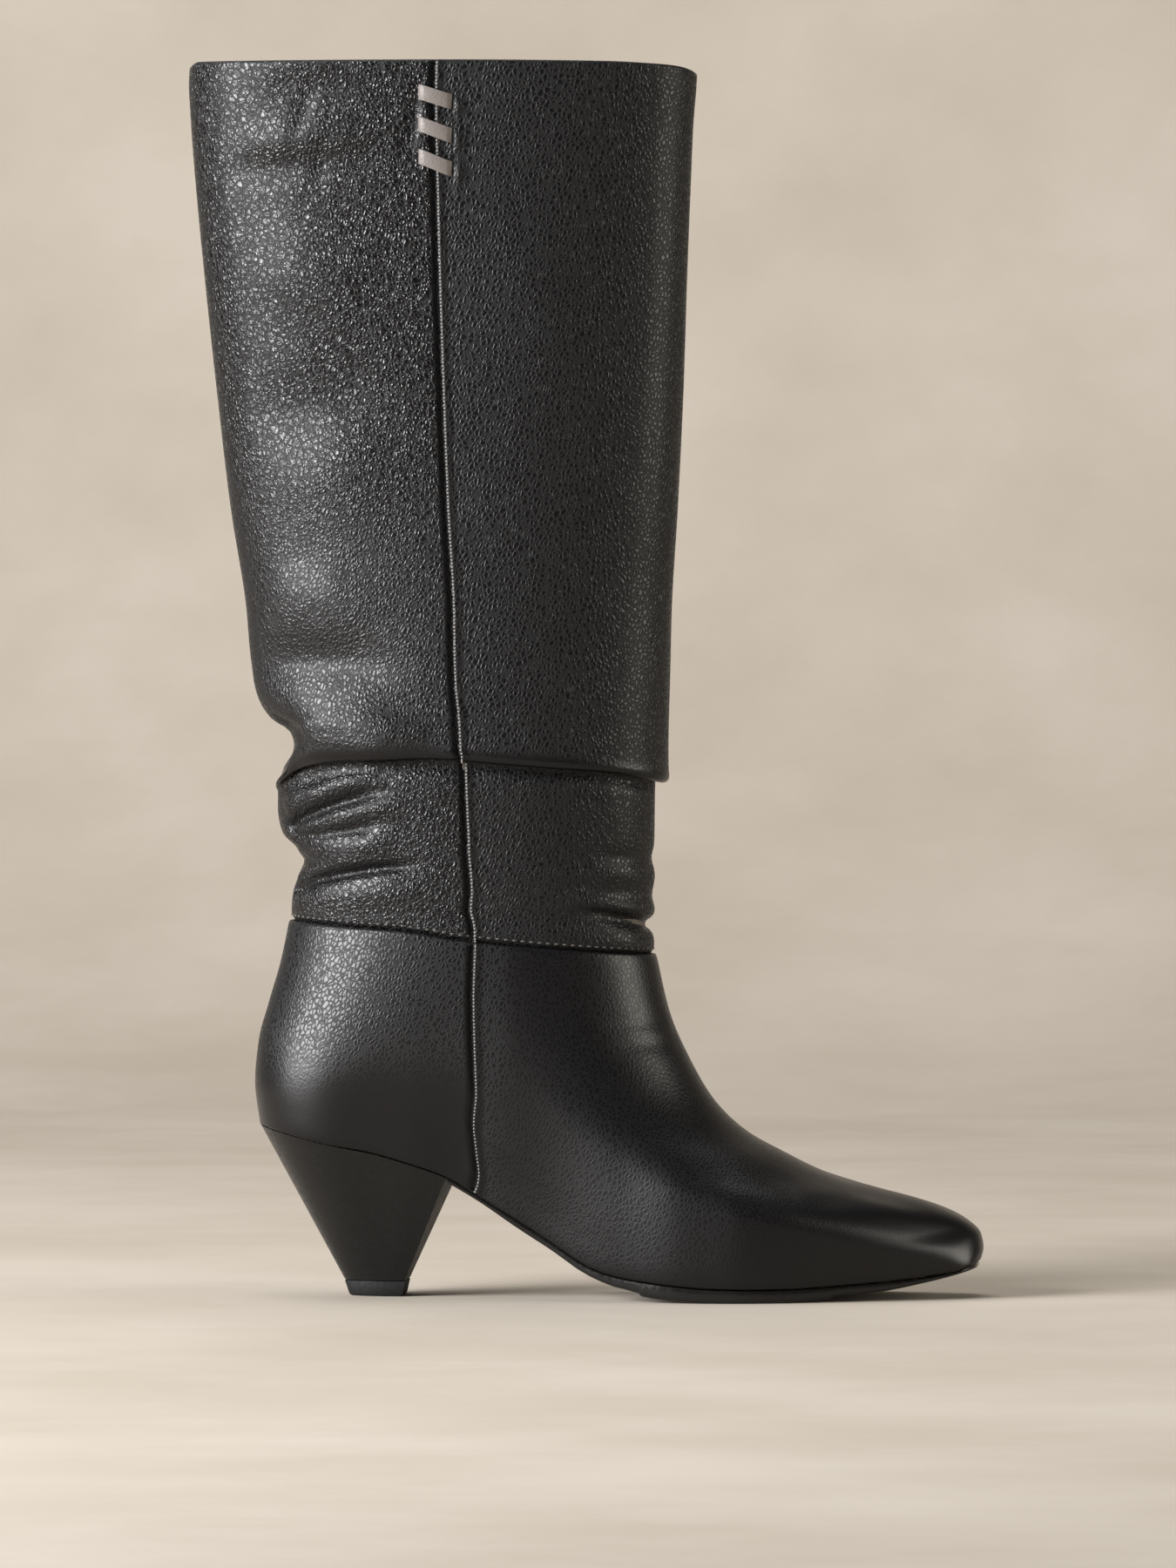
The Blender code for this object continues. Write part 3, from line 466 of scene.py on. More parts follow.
# The folds' creases and rolls on the shaft: part, rise, width, the end where they fade, and
# their path as stations and heights
SHAFT_FOLDS = (
    # Lower shaft, at the back: roll under the lip, its crease, the next roll and its deep crease
    ("lower", -1.2, 2.4, "none",
     ((-95, 176.5), (-80, 180.6), (-60, 182.6), (-30, 182.2), (0, 179.6), (22, 175.5))),
    ("lower", 1.5, 3.2, "front",
     ((-101, 169), (-96.6, 171.8), (-85.6, 175.6), (-74, 178.4), (-64, 179.5))),
    ("lower", -2.7, 1.7, "front",
     ((-101, 161), (-97.5, 164), (-85.6, 168.9), (-74, 172), (-62, 175))),
    ("lower", 1, 4, "both", ((-92, 162.5), (-80, 165.5), (-66, 168.5), (-54, 170))),
    ("lower", 1.4, 3.6, "front",
     ((-97, 153), (-90, 152.8), (-80, 153.4), (-70, 156.2), (-58, 160.5))),
    ("lower", -1.4, 1.8, "front", ((-99, 157.5), (-90, 158.5), (-76, 161), (-64, 165))),
    ("lower", -2.7, 1.6, "front",
     ((-99.5, 139.5), (-92.7, 143.2), (-82.7, 145.2), (-72.9, 146.8), (-60, 148.4), (-50, 149.4))),
    ("lower", 0.9, 2.8, "front", ((-98, 144), (-90, 147.4), (-78, 149.4), (-66, 151))),
    ("lower", 0.8, 4.5, "front", ((-98, 136), (-85, 138.2), (-67, 138.6), (-46, 138.4))),
    # Lower shaft, at the front
    ("lower", -0.6, 3, "back", ((-4, 152.5), (10, 151), (24, 150.6))),
    ("lower", 0.5, 3.4, "back", ((0, 146.5), (12, 146), (24, 145))),
    ("lower", -0.7, 3, "back", ((-14, 141.5), (4, 139.8), (24, 137.4))),
    ("lower", 0.9, 3, "back", ((-12, 137.6), (4, 135.4), (14, 133), (24, 131.6))),
    ("lower", -1.9, 1.8, "back", ((-6, 134.2), (6, 131.8), (15, 129.6), (24, 127.6))),
    # Upper shaft: pinch above the lip, swell over it, and the slow buckles of the back panel,
    # with fine creases near the collar and the leather drawn in round the thong
    ("upper", -1.6, 2.6, "front", ((-104, 196.5), (-99, 194.5), (-95.4, 191.4), (-93.5, 188))),
    ("upper", 1, 3, "both", ((-98, 199), (-92.5, 195.5), (-88, 191))),
    ("upper", 3, 10, "both", ((-102, 195), (-84, 194), (-68, 192), (-48, 188))),
    ("upper", -2.8, 8.5, "both", ((-118, 215), (-98, 218), (-78, 218), (-52, 212))),
    ("upper", 1, 9, "both", ((-114, 242), (-92, 240), (-68, 236))),
    ("upper", 0.9, 14, "both", ((-108, 272), (-84, 282), (-66, 298))),
    ("upper", -1.5, 13, "both", ((-118, 300), (-92, 304), (-62, 320))),
    ("upper", 1.3, 14, "both", ((-118, 352), (-92, 350), (-66, 344))),
    ("upper", -1.1, 4.5, "both", ((-128, 384), (-104, 386), (-82, 388), (-60, 393))),
    ("upper", 0.9, 5, "both", ((-122, 394), (-104, 395), (-82, 397), (-62, 400))),
    ("upper", -0.8, 1.5, "both", ((-99, 392), (-95, 405), (-90, 420))),
    ("upper", -0.7, 1.4, "both", ((-91.5, 372), (-88.5, 392), (-83, 404))),
    ("upper", -1.4, 1.7, "both", ((-56.8, 416), (-57.4, 404), (-57.8, 392), (-56.6, 382))),
    ("upper", 0.9, 1.2, "both", ((-42.2, 411), (-41.6, 407.5), (-41.8, 403))),
    ("upper", 0.9, 1.2, "both", ((-42.2, 400), (-41.6, 396), (-42, 391))),
    ("upper", 1, 1.2, "both", ((-42.2, 389), (-41.4, 385), (-42.2, 380))),
    ("upper", -0.9, 6, "both", ((-118, 412), (-88, 413), (-66, 414))),
    ("upper", 0.5, 12, "both", ((-30, 372), (-12, 340), (-4, 300))),
    ("upper", -0.4, 12, "both", ((6, 392), (12, 350), (12, 300))),
)

# Creases and ridges of the foot part, in the same form
FOOT_FOLDS = (
    ("foot", 0.7, 3.6, "both",
     ((80, 34.5), (95.3, 32.6), (114, 28.6), (128, 25.8), (134, 23.4))),
    ("foot", -0.5, 4, "both", ((84, 40), (100, 36), (118, 30.6))),
    ("foot", -0.35, 2.4, "back", ((2, 96), (12, 94.5), (26, 95))),
    ("foot", -0.3, 2.2, "back", ((6, 90), (16, 87.6), (31, 87))),
    ("foot", -0.3, 3, "both", ((60, 47), (70, 40), (74, 32))),
)

# Rows are closer together in the slouch and round the thong
FINE_SPACING = 1.15
PLAIN_SPACING = 2.3
SLOUCH_TOP = 216.0
THONG_ZONE = 380.0

# Columns: arcs behind and before each side seam, and close ones beside it
COLUMNS_BEHIND = 44
COLUMNS_BEFORE = 52
SEAM_OFFSETS = (*(-7.0 + 0.6 * i for i in range(9)), *(-1.5 + 0.25 * i for i in range(12)),
                *(1.5 + 0.6 * i for i in range(13)))
FAR_FROM_SEAM = 99.0
FOOT_ROWS = 96

# The middle of a side, as a share of the way from back to front, and a usual ring's length
MIDDLE_PLACE = 0.48
MIDDLE_SEAM = 0.51
MIDDLE_LENGTH = 140.0

# Side seam: depth of its groove and rise of the front panel's edge
GROOVE_DEPTH = 1.3
SEAM_EDGE_RISE = 0.45

# Rounded upper edges, the highest fold and the smooth band over the lip
SHELL_RIM = 0.75
MOST_LIFT = 2.8
LIP_BAND_RISE = 1.0
LIP_BAND_WIDTH = 3.2

# Stitches: distance from the seam or edge, gap, length and radius
SEAM_STITCH_OFFSET = 0.25
SEAM_STITCH_GAP = 1.2
SEAM_STITCH_LENGTH = 0.8
SHAFT_STITCH_RADIUS = 0.44
FOOT_STITCH_RADIUS = 0.34
ANKLE_STITCH_RISE = 1.7
ANKLE_STITCH_GAP = 2.9
ANKLE_STITCH_LENGTH = 1.6
ANKLE_STITCH_RADIUS = 0.42

# Sole edge from top to bottom: share of the thickness and inset
SOLE_EDGE = ((0.0, 0.25), (0.12, 0.05), (0.3, 0.0), (0.7, 0.0), (0.88, 0.12), (1.0, 0.7))
SOLE_PAD_STEPS = (20.0, 20.6, 21.2, 42.0, 68.0, 85.0, 85.6, 86.2)
SOLE_STEPS = 60
HEEL_STEPS = 30
HEEL_ROWS = 24

# Top piece from the floor up: height, and how far its outline is drawn in
TOP_PIECE_EDGE = ((0.0, TOP_PIECE_TAPER + 0.4), (0.25, TOP_PIECE_TAPER), (0.8, TOP_PIECE_TAPER - 0.4),
                  (TOP_PIECE_HEIGHT - 0.2, 0.0), (TOP_PIECE_HEIGHT, 0.15))

# One end of a bar of the thong: distance from its slit, depth and share of the bar's slant
BAR_END = ((-0.1, 3.0, 0.0), (0.1, 1.3, 0.0), (0.7, 0.25, 0.05), (2.0, -0.1, 0.16))

# Floor and wall of the backdrop, in metres
BACKDROP_HALF_WIDTH = 5.0
BACKDROP_FRONT = -5.5
BACKDROP_BACK = 2.2
BACKDROP_HEIGHT = 5.0
BACKDROP_RADIUS = 0.9

# Camera, in metres and degrees
CAMERA_TARGET = Vector((0.001, 0.002, 0.17559))
CAMERA_DISTANCE = 4.5
CAMERA_AZIMUTH = 4.5
CAMERA_HEIGHT = 0.29
CAMERA_LENS = 301.6


def ring_places(seam, length):
    """Shares of the way from back to front for a ring's columns, close together at the seam."""
    first = acos(1 - 2 * (seam + SEAM_OFFSETS[0] / length))
    last = acos(1 - 2 * (seam + SEAM_OFFSETS[-1] / length))
    behind = [(1 - cos(first * i / COLUMNS_BEHIND)) / 2 for i in range(COLUMNS_BEHIND)]
    beside = [seam + offset / length for offset in SEAM_OFFSETS]
    before = [(1 - cos(mix(last, pi, i / COLUMNS_BEFORE))) / 2 for i in range(1, COLUMNS_BEFORE + 1)]
    return behind + beside + before


def ring_points(row, seam, length):
    """One ring of a row's points, out along the outer side and back along the inner one."""
    places = ring_places(seam, length)
    outer = [row(c, "outer") for c in places]
    inner = [row(c, "inner") for c in reversed(places[:-1])]
    return np.array(outer + inner)


def row_spacing(z):
    """How far apart the rows of the shaft are at a height."""
    return FINE_SPACING if z < SLOUCH_TOP or z > THONG_ZONE else PLAIN_SPACING


def smooth_rows(rings, spacing):
    """More rings between the given ones, on smooth curves along the leather, and their marks."""
    steps = np.linalg.norm(np.diff(rings, axis=0), axis=2, keepdims=True).clip(min=1e-4)
    unit = np.diff(rings, axis=0) / steps
    slopes = np.empty_like(rings)
    slopes[0], slopes[-1] = unit[0], unit[-1]
    slopes[1:-1] = (unit[:-1] * steps[1:] + unit[1:] * steps[:-1]) / (steps[:-1] + steps[1:])
    fine, marks = [], []
    for i in range(len(rings) - 1):
        span = steps[i]
        count = max(1, round(span.mean() / spacing(rings[i][:, 2].mean())))
        for k in range(count):
            t = k / count
            start = (1 + 2 * t) * (1 - t) ** 2 * rings[i] + t * (1 - t) ** 2 * span * slopes[i]
            end = t * t * (3 - 2 * t) * rings[i + 1] + t * t * (t - 1) * span * slopes[i + 1]
            fine.append(start + end)
            marks.append(i + t)
    fine.append(rings[-1])
    marks.append(len(rings) - 1)
    return np.array(fine), np.array(marks)


def outward(surface):
    """Unit normals of a surface made of closed rings."""
    ring = surface[:, :-1]
    across = np.roll(ring, -1, axis=1) - np.roll(ring, 1, axis=1)
    across = np.concatenate([across, across[:, :1]], axis=1)
    normal = np.cross(across, np.gradient(surface, axis=0))
    return normal / np.linalg.norm(normal, axis=2, keepdims=True).clip(min=1e-9)


def arc_lengths(surface):
    """Distance of each point from the back, along its ring, negative on the inner side."""
    steps = np.linalg.norm(np.diff(surface, axis=1), axis=2)
    half = surface.shape[1] // 2
    outer = np.concatenate([np.zeros((len(surface), 1)), np.cumsum(steps[:, :half], axis=1)], axis=1)
    inner = np.cumsum(steps[:, :half - 1:-1], axis=1)[:, ::-1]
    return np.concatenate([outer, -inner[:, 1:], np.zeros((len(surface), 1))], axis=1)


class Leather:
    """A leather surface of rings, with the lift that its folds add."""

    def __init__(self, points, parts):
        self.points = points
        self.parts = parts
        self.arc = arc_lengths(points)
        self.lift = np.zeros(points.shape[:2])

    def spot(self, x, z, part):
        """Arc length and height of the surface point seen at x and z from the outer side."""
        there = (self.parts[:, None] == part) & (self.arc >= 0)
        gap = (self.points[:, :, 0] - x) ** 2 + (self.points[:, :, 2] - z) ** 2
        row, column = np.unravel_index(np.argmin(np.where(there, gap, 1e9)), gap.shape)
        return np.array((abs(self.arc[row, column]), z))

    def fold(self, part, rise, width, fades, path):
        """A soft ridge or trough along a path on both sides."""
        spots = [self.spot(x, z, part) for x, z in path]
        lengths = [np.linalg.norm(b - a) for a, b in zip(spots, spots[1:])]
        total, gone = sum(lengths), 0.0
        place = np.stack([np.abs(self.arc), self.points[:, :, 2]], axis=-1)
        best = np.zeros(self.lift.shape)
        for a, b, length in zip(spots, spots[1:], lengths):
            along = (b - a) / max(length, 1e-6)
            t = ((place - a) @ along).clip(0, length)
            away = np.linalg.norm(place - a - t[:, :, None] * along, axis=2)
            share = (gone + t) / total
            fade = np.ones_like(share)
            if fades in ("front", "both"):
                fade *= smooth((1 - share) / 0.4)
            if fades in ("back", "both"):
                fade *= smooth(share / 0.4)
            best = np.maximum(best, np.exp(-(away / width) ** 2) * fade)
            gone += length
        self.lift += rise * best * (self.parts[:, None] == part)

    def shaped(self):
        """The points with the lift added along the normals."""
        return self.points + outward(self.points) * self.lift[:, :, None]


def smooth(t):
    """A soft step from 0 to 1, for arrays."""
    t = np.clip(t, 0.0, 1.0)
    return t * t * (3 - 2 * t)


def seam_lift():
    """Lift of every column beside its side seam: a groove, then the front panel's raised edge."""
    outer = [FAR_FROM_SEAM] * COLUMNS_BEHIND + list(SEAM_OFFSETS) + [FAR_FROM_SEAM] * COLUMNS_BEFORE
    distance = np.array(outer + outer[-2::-1])
    dip = -GROOVE_DEPTH * smooth((distance + 3.2) / 2.6) * (distance <= -0.2)
    edge = SEAM_EDGE_RISE * (1 - smooth((distance - 0.5) / 2.5)) * (distance > -0.2)
    return dip + edge * smooth((distance + 0.3) / 0.7)


def ring_mesh(points):
    """A mesh through an array of rings, and each vertex with its row and column."""
    rows, count = points.shape[:2]
    bm = bmesh.new()
    bm.loops.layers.uv.new("UVMap")
    bmesh.ops.create_grid(bm, x_segments=count - 1, y_segments=rows - 1, size=1.0, calc_uvs=True)
    places = []
    for vert in bm.verts:
        column = round((vert.co.x + 1) / 2 * (count - 1))
        row = round((vert.co.y + 1) / 2 * (rows - 1))
        vert.co = (Vector(points[row, column]) + boot_shift) * MM
        places.append((row, column))
    return bm, places


def leather_piece(name, points, lined_rows, materials, layers):
    """A closed mesh from an array of rings, with its own numbers on each point."""
    bm, places = ring_mesh(points)
    held = {key: bm.verts.layers.float.new(key) for key in layers}
    lining = bm.verts.layers.int.new("lining")
    for vert, (row, column) in zip(bm.verts, places):
        vert[lining] = int(lined_rows[row])
        for key, values in layers.items():
            vert[held[key]] = values[row, column]
    for face in bm.faces:
        if min(vert[lining] for vert in face.verts) > 0:
            face.material_index = 1
    bmesh.ops.remove_doubles(bm, verts=bm.verts, dist=1e-7)
    bmesh.ops.recalc_face_normals(bm, faces=bm.faces)
    return mesh_piece(name, bm, materials)


def mesh_piece(name, bm, materials):
    """A smooth shaded object from a bmesh, riding on the boot."""
    mesh = bpy.data.meshes.new(name)
    bm.to_mesh(mesh)
    bm.free()
    mesh.shade_smooth()
    for material in materials:
        mesh.materials.append(material)
    piece = bpy.data.objects.new(name, mesh)
    bpy.context.scene.collection.objects.link(piece)
    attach(piece, "root")
    return piece


def lining_row(i):
    """The ring of one row of the shaft's lining."""
    back, front, half_width = (LINING[name][i] for name in ("back", "front", "half_width"))

    def point(c, side):
        z = mix(ankle_edge(c) + LAP_ROWS["rise"][0], collar(c), LINING["share"][i])
        return shaft_ring(c, side, back, back, front, half_width, z, ROLLS_FADE_AT)
    return point


def rim_rows(top, normal):
    """Rings of a rounded edge, from the top ring of a wall's outer face over to its inner face."""
    return np.array([top - normal * SHELL_RIM * (1 - cos(angle)) + [0, 0, SHELL_RIM * sin(angle)]
                     for angle in (pi / 4, pi / 2, 3 * pi / 4, pi)])


def closed_wall(outer, rim, inside):
    """Rings of the whole wall, back to the first ring, and which of the rings are lining."""
    everything = np.concatenate([outer, rim, np.array(inside), outer[:1]])
    lined = np.zeros(len(everything))
    lined[len(outer) + len(rim) // 2:-1] = 1
    return everything, lined


def make_shaft(materials):
    """Slouched shaft with its fold, creases, seam grooves, collar edge and lining."""
    rows = shaft_rows()
    rings = []
    for i, row in enumerate(rows):
        length = row(1.0, "outer").x - row(0.0, "outer").x
        rings.append(ring_points(row, shaft_seam(i, row(MIDDLE_PLACE, "outer").z), length))
    rings = np.array(rings)
    rings[-1, :, 2] -= SHELL_RIM
    points, marks = smooth_rows(rings, row_spacing)
    fold_start = len(LAP_ROWS["rise"]) + len(LOWER_ROWS["back"])
    fold_end = fold_start + len(fold_path(0.5)) - 1
    parts = np.where(marks < fold_start + 1, "lower", np.where(marks < fold_end - 2, "fold", "upper"))
    leather = Leather(points, parts)
    for fold in SHAFT_FOLDS:
        leather.fold(*fold)
    leather.lift = leather.lift.clip(-MOST_LIFT, MOST_LIFT)
    leather.lift += seam_lift() * smooth(marks - 1.0)[:, None]
    outer_points = leather.shaped()
    top_normal = outward(outer_points)[-1]
    top_normal[:, 2] = 0
    top_normal /= np.linalg.norm(top_normal, axis=1, keepdims=True)
    inside = []
    for i in reversed(range(len(LINING["share"]))):
        ring = lining_row(i)
        length = ring(1.0, "outer").x - ring(0.0, "outer").x
        inside.append(ring_points(ring, MIDDLE_SEAM, length))
    everything, lined = closed_wall(outer_points, rim_rows(outer_points[-1], top_normal), inside)
    z = outer_points[:, :, 2]
    lip_heights = np.array([lip(c) for c in ring_shares()])
    band = np.exp(-((z - lip_heights - LIP_BAND_RISE) / LIP_BAND_WIDTH) ** 2)
    band *= (marks > fold_start + 3)[:, None]
    grain = np.ones(everything.shape[:2])
    grain[:len(outer_points)] = 1 - 0.9 * band
    half = [i < COLUMNS_BEHIND + 8 for i in range(len(ring_shares()) // 2 + 1)]
    back_panel = np.array(half + half[-2::-1])
    coarse = np.zeros(everything.shape[:2])
    coarse[:len(outer_points)] = back_panel * (
        0.35 + 0.65 * smooth((z - 230) / 90) + 0.4 * (z < 186))
    piece = leather_piece("shaft_leather", everything, lined, materials,
                          {"grain": grain, "coarse": coarse})
    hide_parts("shaft")
    return outer_points


def ring_shares():
    """Share of the way from back to front of every column, about the middle of the shaft."""
    places = ring_places(MIDDLE_SEAM, MIDDLE_LENGTH)
    return places + places[-2::-1]


def make_foot(materials):
    """Foot part with its seam grooves, edges and inner wall."""
    shares = [(j / FOOT_ROWS) ** 1.2 for j in range(FOOT_ROWS + 1)]
    rings = []
    for v in shares:
        length = instep_x(v) - counter_x(v)
        rings.append(ring_points(lambda c, side, v=v: foot_point(c, v, side), foot_seam(v), length))
    points = np.array(rings)
    leather = Leather(points, np.array(["foot"] * len(points)))
    for fold in FOOT_FOLDS:
        leather.fold(*fold)
    leather.lift += seam_lift() * smooth(np.array(shares) / 0.02)[:, None]
    outer_points = leather.shaped()
    normal = outward(outer_points)
    outer_points[-1, :, 2] -= SHELL_RIM
    steps = list(range(len(points) - 4, 3, -8)) + [0]
    inside = [outer_points[j] - normal[j] * FOOT_WALL for j in steps]
    everything, lined = closed_wall(outer_points, rim_rows(outer_points[-1], normal[-1]), inside)
    x, z = everything[:, :, 0], everything[:, :, 2]
    grain = smooth((z - 62.0) / 34.0) * smooth((-20 - x) / 10)
    grain += smooth((x + 40) / 10) * smooth((112 - x) / 60)
    grain *= smooth((z - 6.0) / 10.0) * 0.6 + 0.4
    grain *= 1 - 0.5 * smooth((x + 36.0) / 12.0)
    coarse = np.where(x < -36, 0.3, 0.0)
    piece = leather_piece("foot_leather", everything, lined, materials,
                          {"grain": grain.clip(0.1, 1.0), "coarse": coarse})
    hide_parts("upper")
    return outer_points


def stitch_row(bm, spots, directions, length, radius):
    """Small rounded stitches at the given spots."""
    one = bmesh.new()
    bmesh.ops.create_uvsphere(one, u_segments=6, v_segments=5, radius=1.0)
    size = Matrix.Diagonal((radius * MM, radius * MM, length / 2 * MM, 1.0))
    for spot, direction in zip(spots, directions):
        turn = Vector(direction).to_track_quat("Z", "Y").to_matrix().to_4x4()
        place = Matrix.Translation((Vector(spot) + boot_shift) * MM)
        stitch = bpy.data.meshes.new("stitch")
        one.to_mesh(stitch)
        stitch.transform(place @ turn @ size)
        bm.from_mesh(stitch)
        bpy.data.meshes.remove(stitch)
    one.free()


def even_spots(line, gap):
    """Spots a gap apart along a line of points, with the line's direction at each."""
    steps = np.linalg.norm(np.diff(line, axis=0), axis=1)
    reach = np.concatenate([[0.0], np.cumsum(steps)])
    places = np.arange(gap / 2, reach[-1], gap)
    spots = np.stack([np.interp(places, reach, line[:, k]) for k in range(3)], axis=1)
    ahead = np.stack([np.interp(places + 0.1, reach, line[:, k]) for k in range(3)], axis=1)
    return spots, ahead - spots


def make_seam_stitches(shaft_points, foot_points, material):
    """Close small stitches along the front edge of each side seam, light grey as painted highlight of
    that edge.
    """
    bm = bmesh.new()
    column = COLUMNS_BEHIND + SEAM_OFFSETS.index(SEAM_STITCH_OFFSET)
    for index in (column, -1 - column):
        for line, radius in ((shaft_points[3:, index], SHAFT_STITCH_RADIUS),
                             (foot_points[1:, index], FOOT_STITCH_RADIUS)):
            spots, directions = even_spots(line, SEAM_STITCH_GAP)
            stitch_row(bm, spots, directions, SEAM_STITCH_LENGTH, radius)
    mesh_piece("seam_stitches", bm, [material])


def make_ankle_stitches(shaft_points, material):
    """Row of stitches on the shaft, just above the foot part's edge."""
    bm = bmesh.new()
    line = []
    for i, share in enumerate(ring_shares()):
        column = shaft_points[:60, i]
        height = ankle_edge(share) + ANKLE_STITCH_RISE
        line.append([np.interp(height, column[:, 2], column[:, k]) for k in range(3)])
    spots, directions = even_spots(np.array(line), ANKLE_STITCH_GAP)
    stitch_row(bm, spots, directions, ANKLE_STITCH_LENGTH, ANKLE_STITCH_RADIUS)
    mesh_piece("ankle_stitches", bm, [material])


def lofted_piece(name, rings, material, replaced):
    """A closed piece through rings of points, with both ends closed."""
    bm = ring_mesh(np.array([[tuple(spot) for spot in ring + ring[:1]] for ring in rings]))[0]
    bmesh.ops.remove_doubles(bm, verts=bm.verts, dist=1e-7)
    bmesh.ops.holes_fill(bm, edges=bm.edges, sides=0)
    bmesh.ops.recalc_face_normals(bm, faces=bm.faces)
    piece = mesh_piece(name, bm, [material])
    piece.data.set_sharp_from_angle(angle=0.9)
    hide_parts(replaced)
    return piece


def make_sole(material):
    """Thin sole with a rounded edge and the forefoot pad."""
    rings = []
    for x in sorted(stations(BREAST_TOP + 0.5, TOE_END - 1.0, SOLE_STEPS, SOLE_PAD_STEPS)):
        top = feather(x) - FIT_GAP
        thick = top - sole_bottom(x)
        outer, inner = half_breadth(x, "outer", 0.6), half_breadth(x, "inner", 0.6)
        ring = [Vector((x, outer + inset, top - thick * drop)) for drop, inset in SOLE_EDGE]
        ring += [Vector((x, inner - inset, top - thick * drop)) for drop, inset in SOLE_EDGE[::-1]]
        rings.append(ring)
    lofted_piece("sole", rings, material, "outsole")


def make_heel(material, breast_reflection_material):
    """Covered heel with a crisp seat edge and a plain breast, tinted olive-brown as painted
    reflection.
    """
    seat = [(x, half_breadth(x, "inner", 0.3), half_breadth(x, "outer", 0.3))
            for x in stations(HEEL_END + 0.3, BREAST_TOP, HEEL_STEPS)[::-1]]
    foot = heel_outline(HEEL_FOOT_BACK, HEEL_FOOT_BREAST, HEEL_FOOT_HALF_WIDTH, HEEL_STEPS)
    foot_z = TOP_PIECE_HEIGHT + FIT_GAP
    rings = []
    for i in range(HEEL_ROWS + 1):
        share = i / HEEL_ROWS
        inner, outer = [], []
        for (seat_x, seat_in, seat_out), (foot_x, foot_half) in zip(seat, foot):
            x = mix(foot_x, seat_x, share)
            z = mix(foot_z, feather(seat_x) - SEAT_GAP, share)
            inner.append(Vector((x, mix(foot_half, seat_in, share), z)))
            outer.append(Vector((x, mix(-foot_half, seat_out, share), z)))
        rings.append(inner + outer[-2::-1])
    piece = lofted_piece("heel_cover", rings, material, "heel")
    piece.data.materials.append(breast_reflection_material)
    # Painted reflection: the faces turned towards the toe take the breast's olive-brown tint.
    for face in piece.data.polygons:
        if face.normal.x > 0.75:
            face.material_index = 1


def make_top_piece(material):
    """Rubber top piece, tapering to the floor, with a soft lower edge."""
    rings = []
    for z, taper in TOP_PIECE_EDGE:
        outline = heel_outline(HEEL_FOOT_BACK + taper, HEEL_FOOT_BREAST - taper * 0.6,
                               HEEL_FOOT_HALF_WIDTH - taper * 0.7, HEEL_STEPS)
        half = [Vector((x, y, z)) for x, y in outline]
        rings.append(half + [Vector((spot.x, -spot.y, z)) for spot in half[-2::-1]])
    lofted_piece("heel_top_piece", rings, material, "top_piece")


def thong_bars():
    """Middle line of each bar of the thong, between its two slits."""
    clear = FIT_GAP + THONG_THICKNESS / 2
    outside = -COLLAR_HALF_WIDTH - clear
    for back_z, front_z in zip(THONG_BARS["back"], THONG_BARS["front"]):
        bar = [(SLIT_BACK + along, depth, share) for along, depth, share in BAR_END]
        bar.append((mix(SLIT_BACK, SLIT_FRONT, 0.5), -0.35, 0.5))
        bar += [(SLIT_FRONT - along, depth, 1 - share) for along, depth, share in BAR_END[::-1]]
        yield [Vector((x, outside + depth, mix(back_z, front_z, share))) for x, depth, share in bar]


def make_thong(material):
    """Taupe thong, three bars over the outer side seam."""
    bm = bmesh.new()
    half = Vector((0, 0, THONG_WIDTH / 2))
    for bar in thong_bars():
        strip = [[bm.verts.new((spot + rise + boot_shift) * MM) for rise in (-half, half)]
                 for spot in bar]
        for (low, high), (next_low, next_high) in zip(strip, strip[1:]):
            bm.faces.new((low, next_low, next_high, high))
    bmesh.ops.recalc_face_normals(bm, faces=bm.faces)
    thong = mesh_piece("thong_bars", bm, [material])
    thickness = thong.modifiers.new("thickness", "SOLIDIFY")
    thickness.thickness = THONG_THICKNESS * MM
    thickness.offset = 0.0
    thickness.use_even_offset = True
    bevel = thong.modifiers.new("edges", "BEVEL")
    bevel.width = THONG_EDGE_RADIUS * MM
    bevel.segments = 2
    bevel.limit_method = "ANGLE"
    bevel.angle_limit = 0.9
    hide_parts("thong")


def new_material(name):
    """A material with its node tree and its shader."""
    material = bpy.data.materials.new(name)
    material.use_nodes = True
    return material, material.node_tree, material.node_tree.nodes["Principled BSDF"]


def node(tree, kind, **inputs):
    """A node of the given kind with values set on its named inputs."""
    made = tree.nodes.new(kind)
    for name, value in inputs.items():
        made.inputs[name.replace("_", " ")].default_value = value
    return made


def math_node(tree, operation, first, second):
    """A math node on two numbers or sockets."""
    made = tree.nodes.new("ShaderNodeMath")
    made.operation = operation
    for i, value in enumerate((first, second)):
        if isinstance(value, (int, float)):
            made.inputs[i].default_value = value
        else:
            tree.links.new(value, made.inputs[i])
    return made.outputs[0]


def remap(tree, value, low, high, to_low, to_high):
    """A smooth step of a socket's value between two bounds."""
    made = tree.nodes.new("ShaderNodeMapRange")
    made.interpolation_type = "SMOOTHSTEP"
    tree.links.new(value, made.inputs["Value"])
    made.inputs["From Min"].default_value = low
    made.inputs["From Max"].default_value = high
    made.inputs["To Min"].default_value = to_low
    made.inputs["To Max"].default_value = to_high
    return made.outputs["Result"]


def pebbles(tree, place, size, slant, stretch, valley):
    """Height of rounded leather cells of one size, stretched along a slanting direction."""
    turn = tree.nodes.new("ShaderNodeMapping")
    turn.vector_type = "TEXTURE"
    turn.inputs["Rotation"].default_value = (0.0, radians(slant), 0.0)
    turn.inputs["Scale"].default_value = (1.0, 1.0, stretch)
    tree.links.new(place, turn.inputs["Vector"])
    cells = node(tree, "ShaderNodeTexVoronoi", Scale=1000.0 / size)
    cells.feature = "DISTANCE_TO_EDGE"
    tree.links.new(turn.outputs[0], cells.inputs["Vector"])
    return remap(tree, cells.outputs["Distance"], 0.0, valley, 0.0, 1.0)


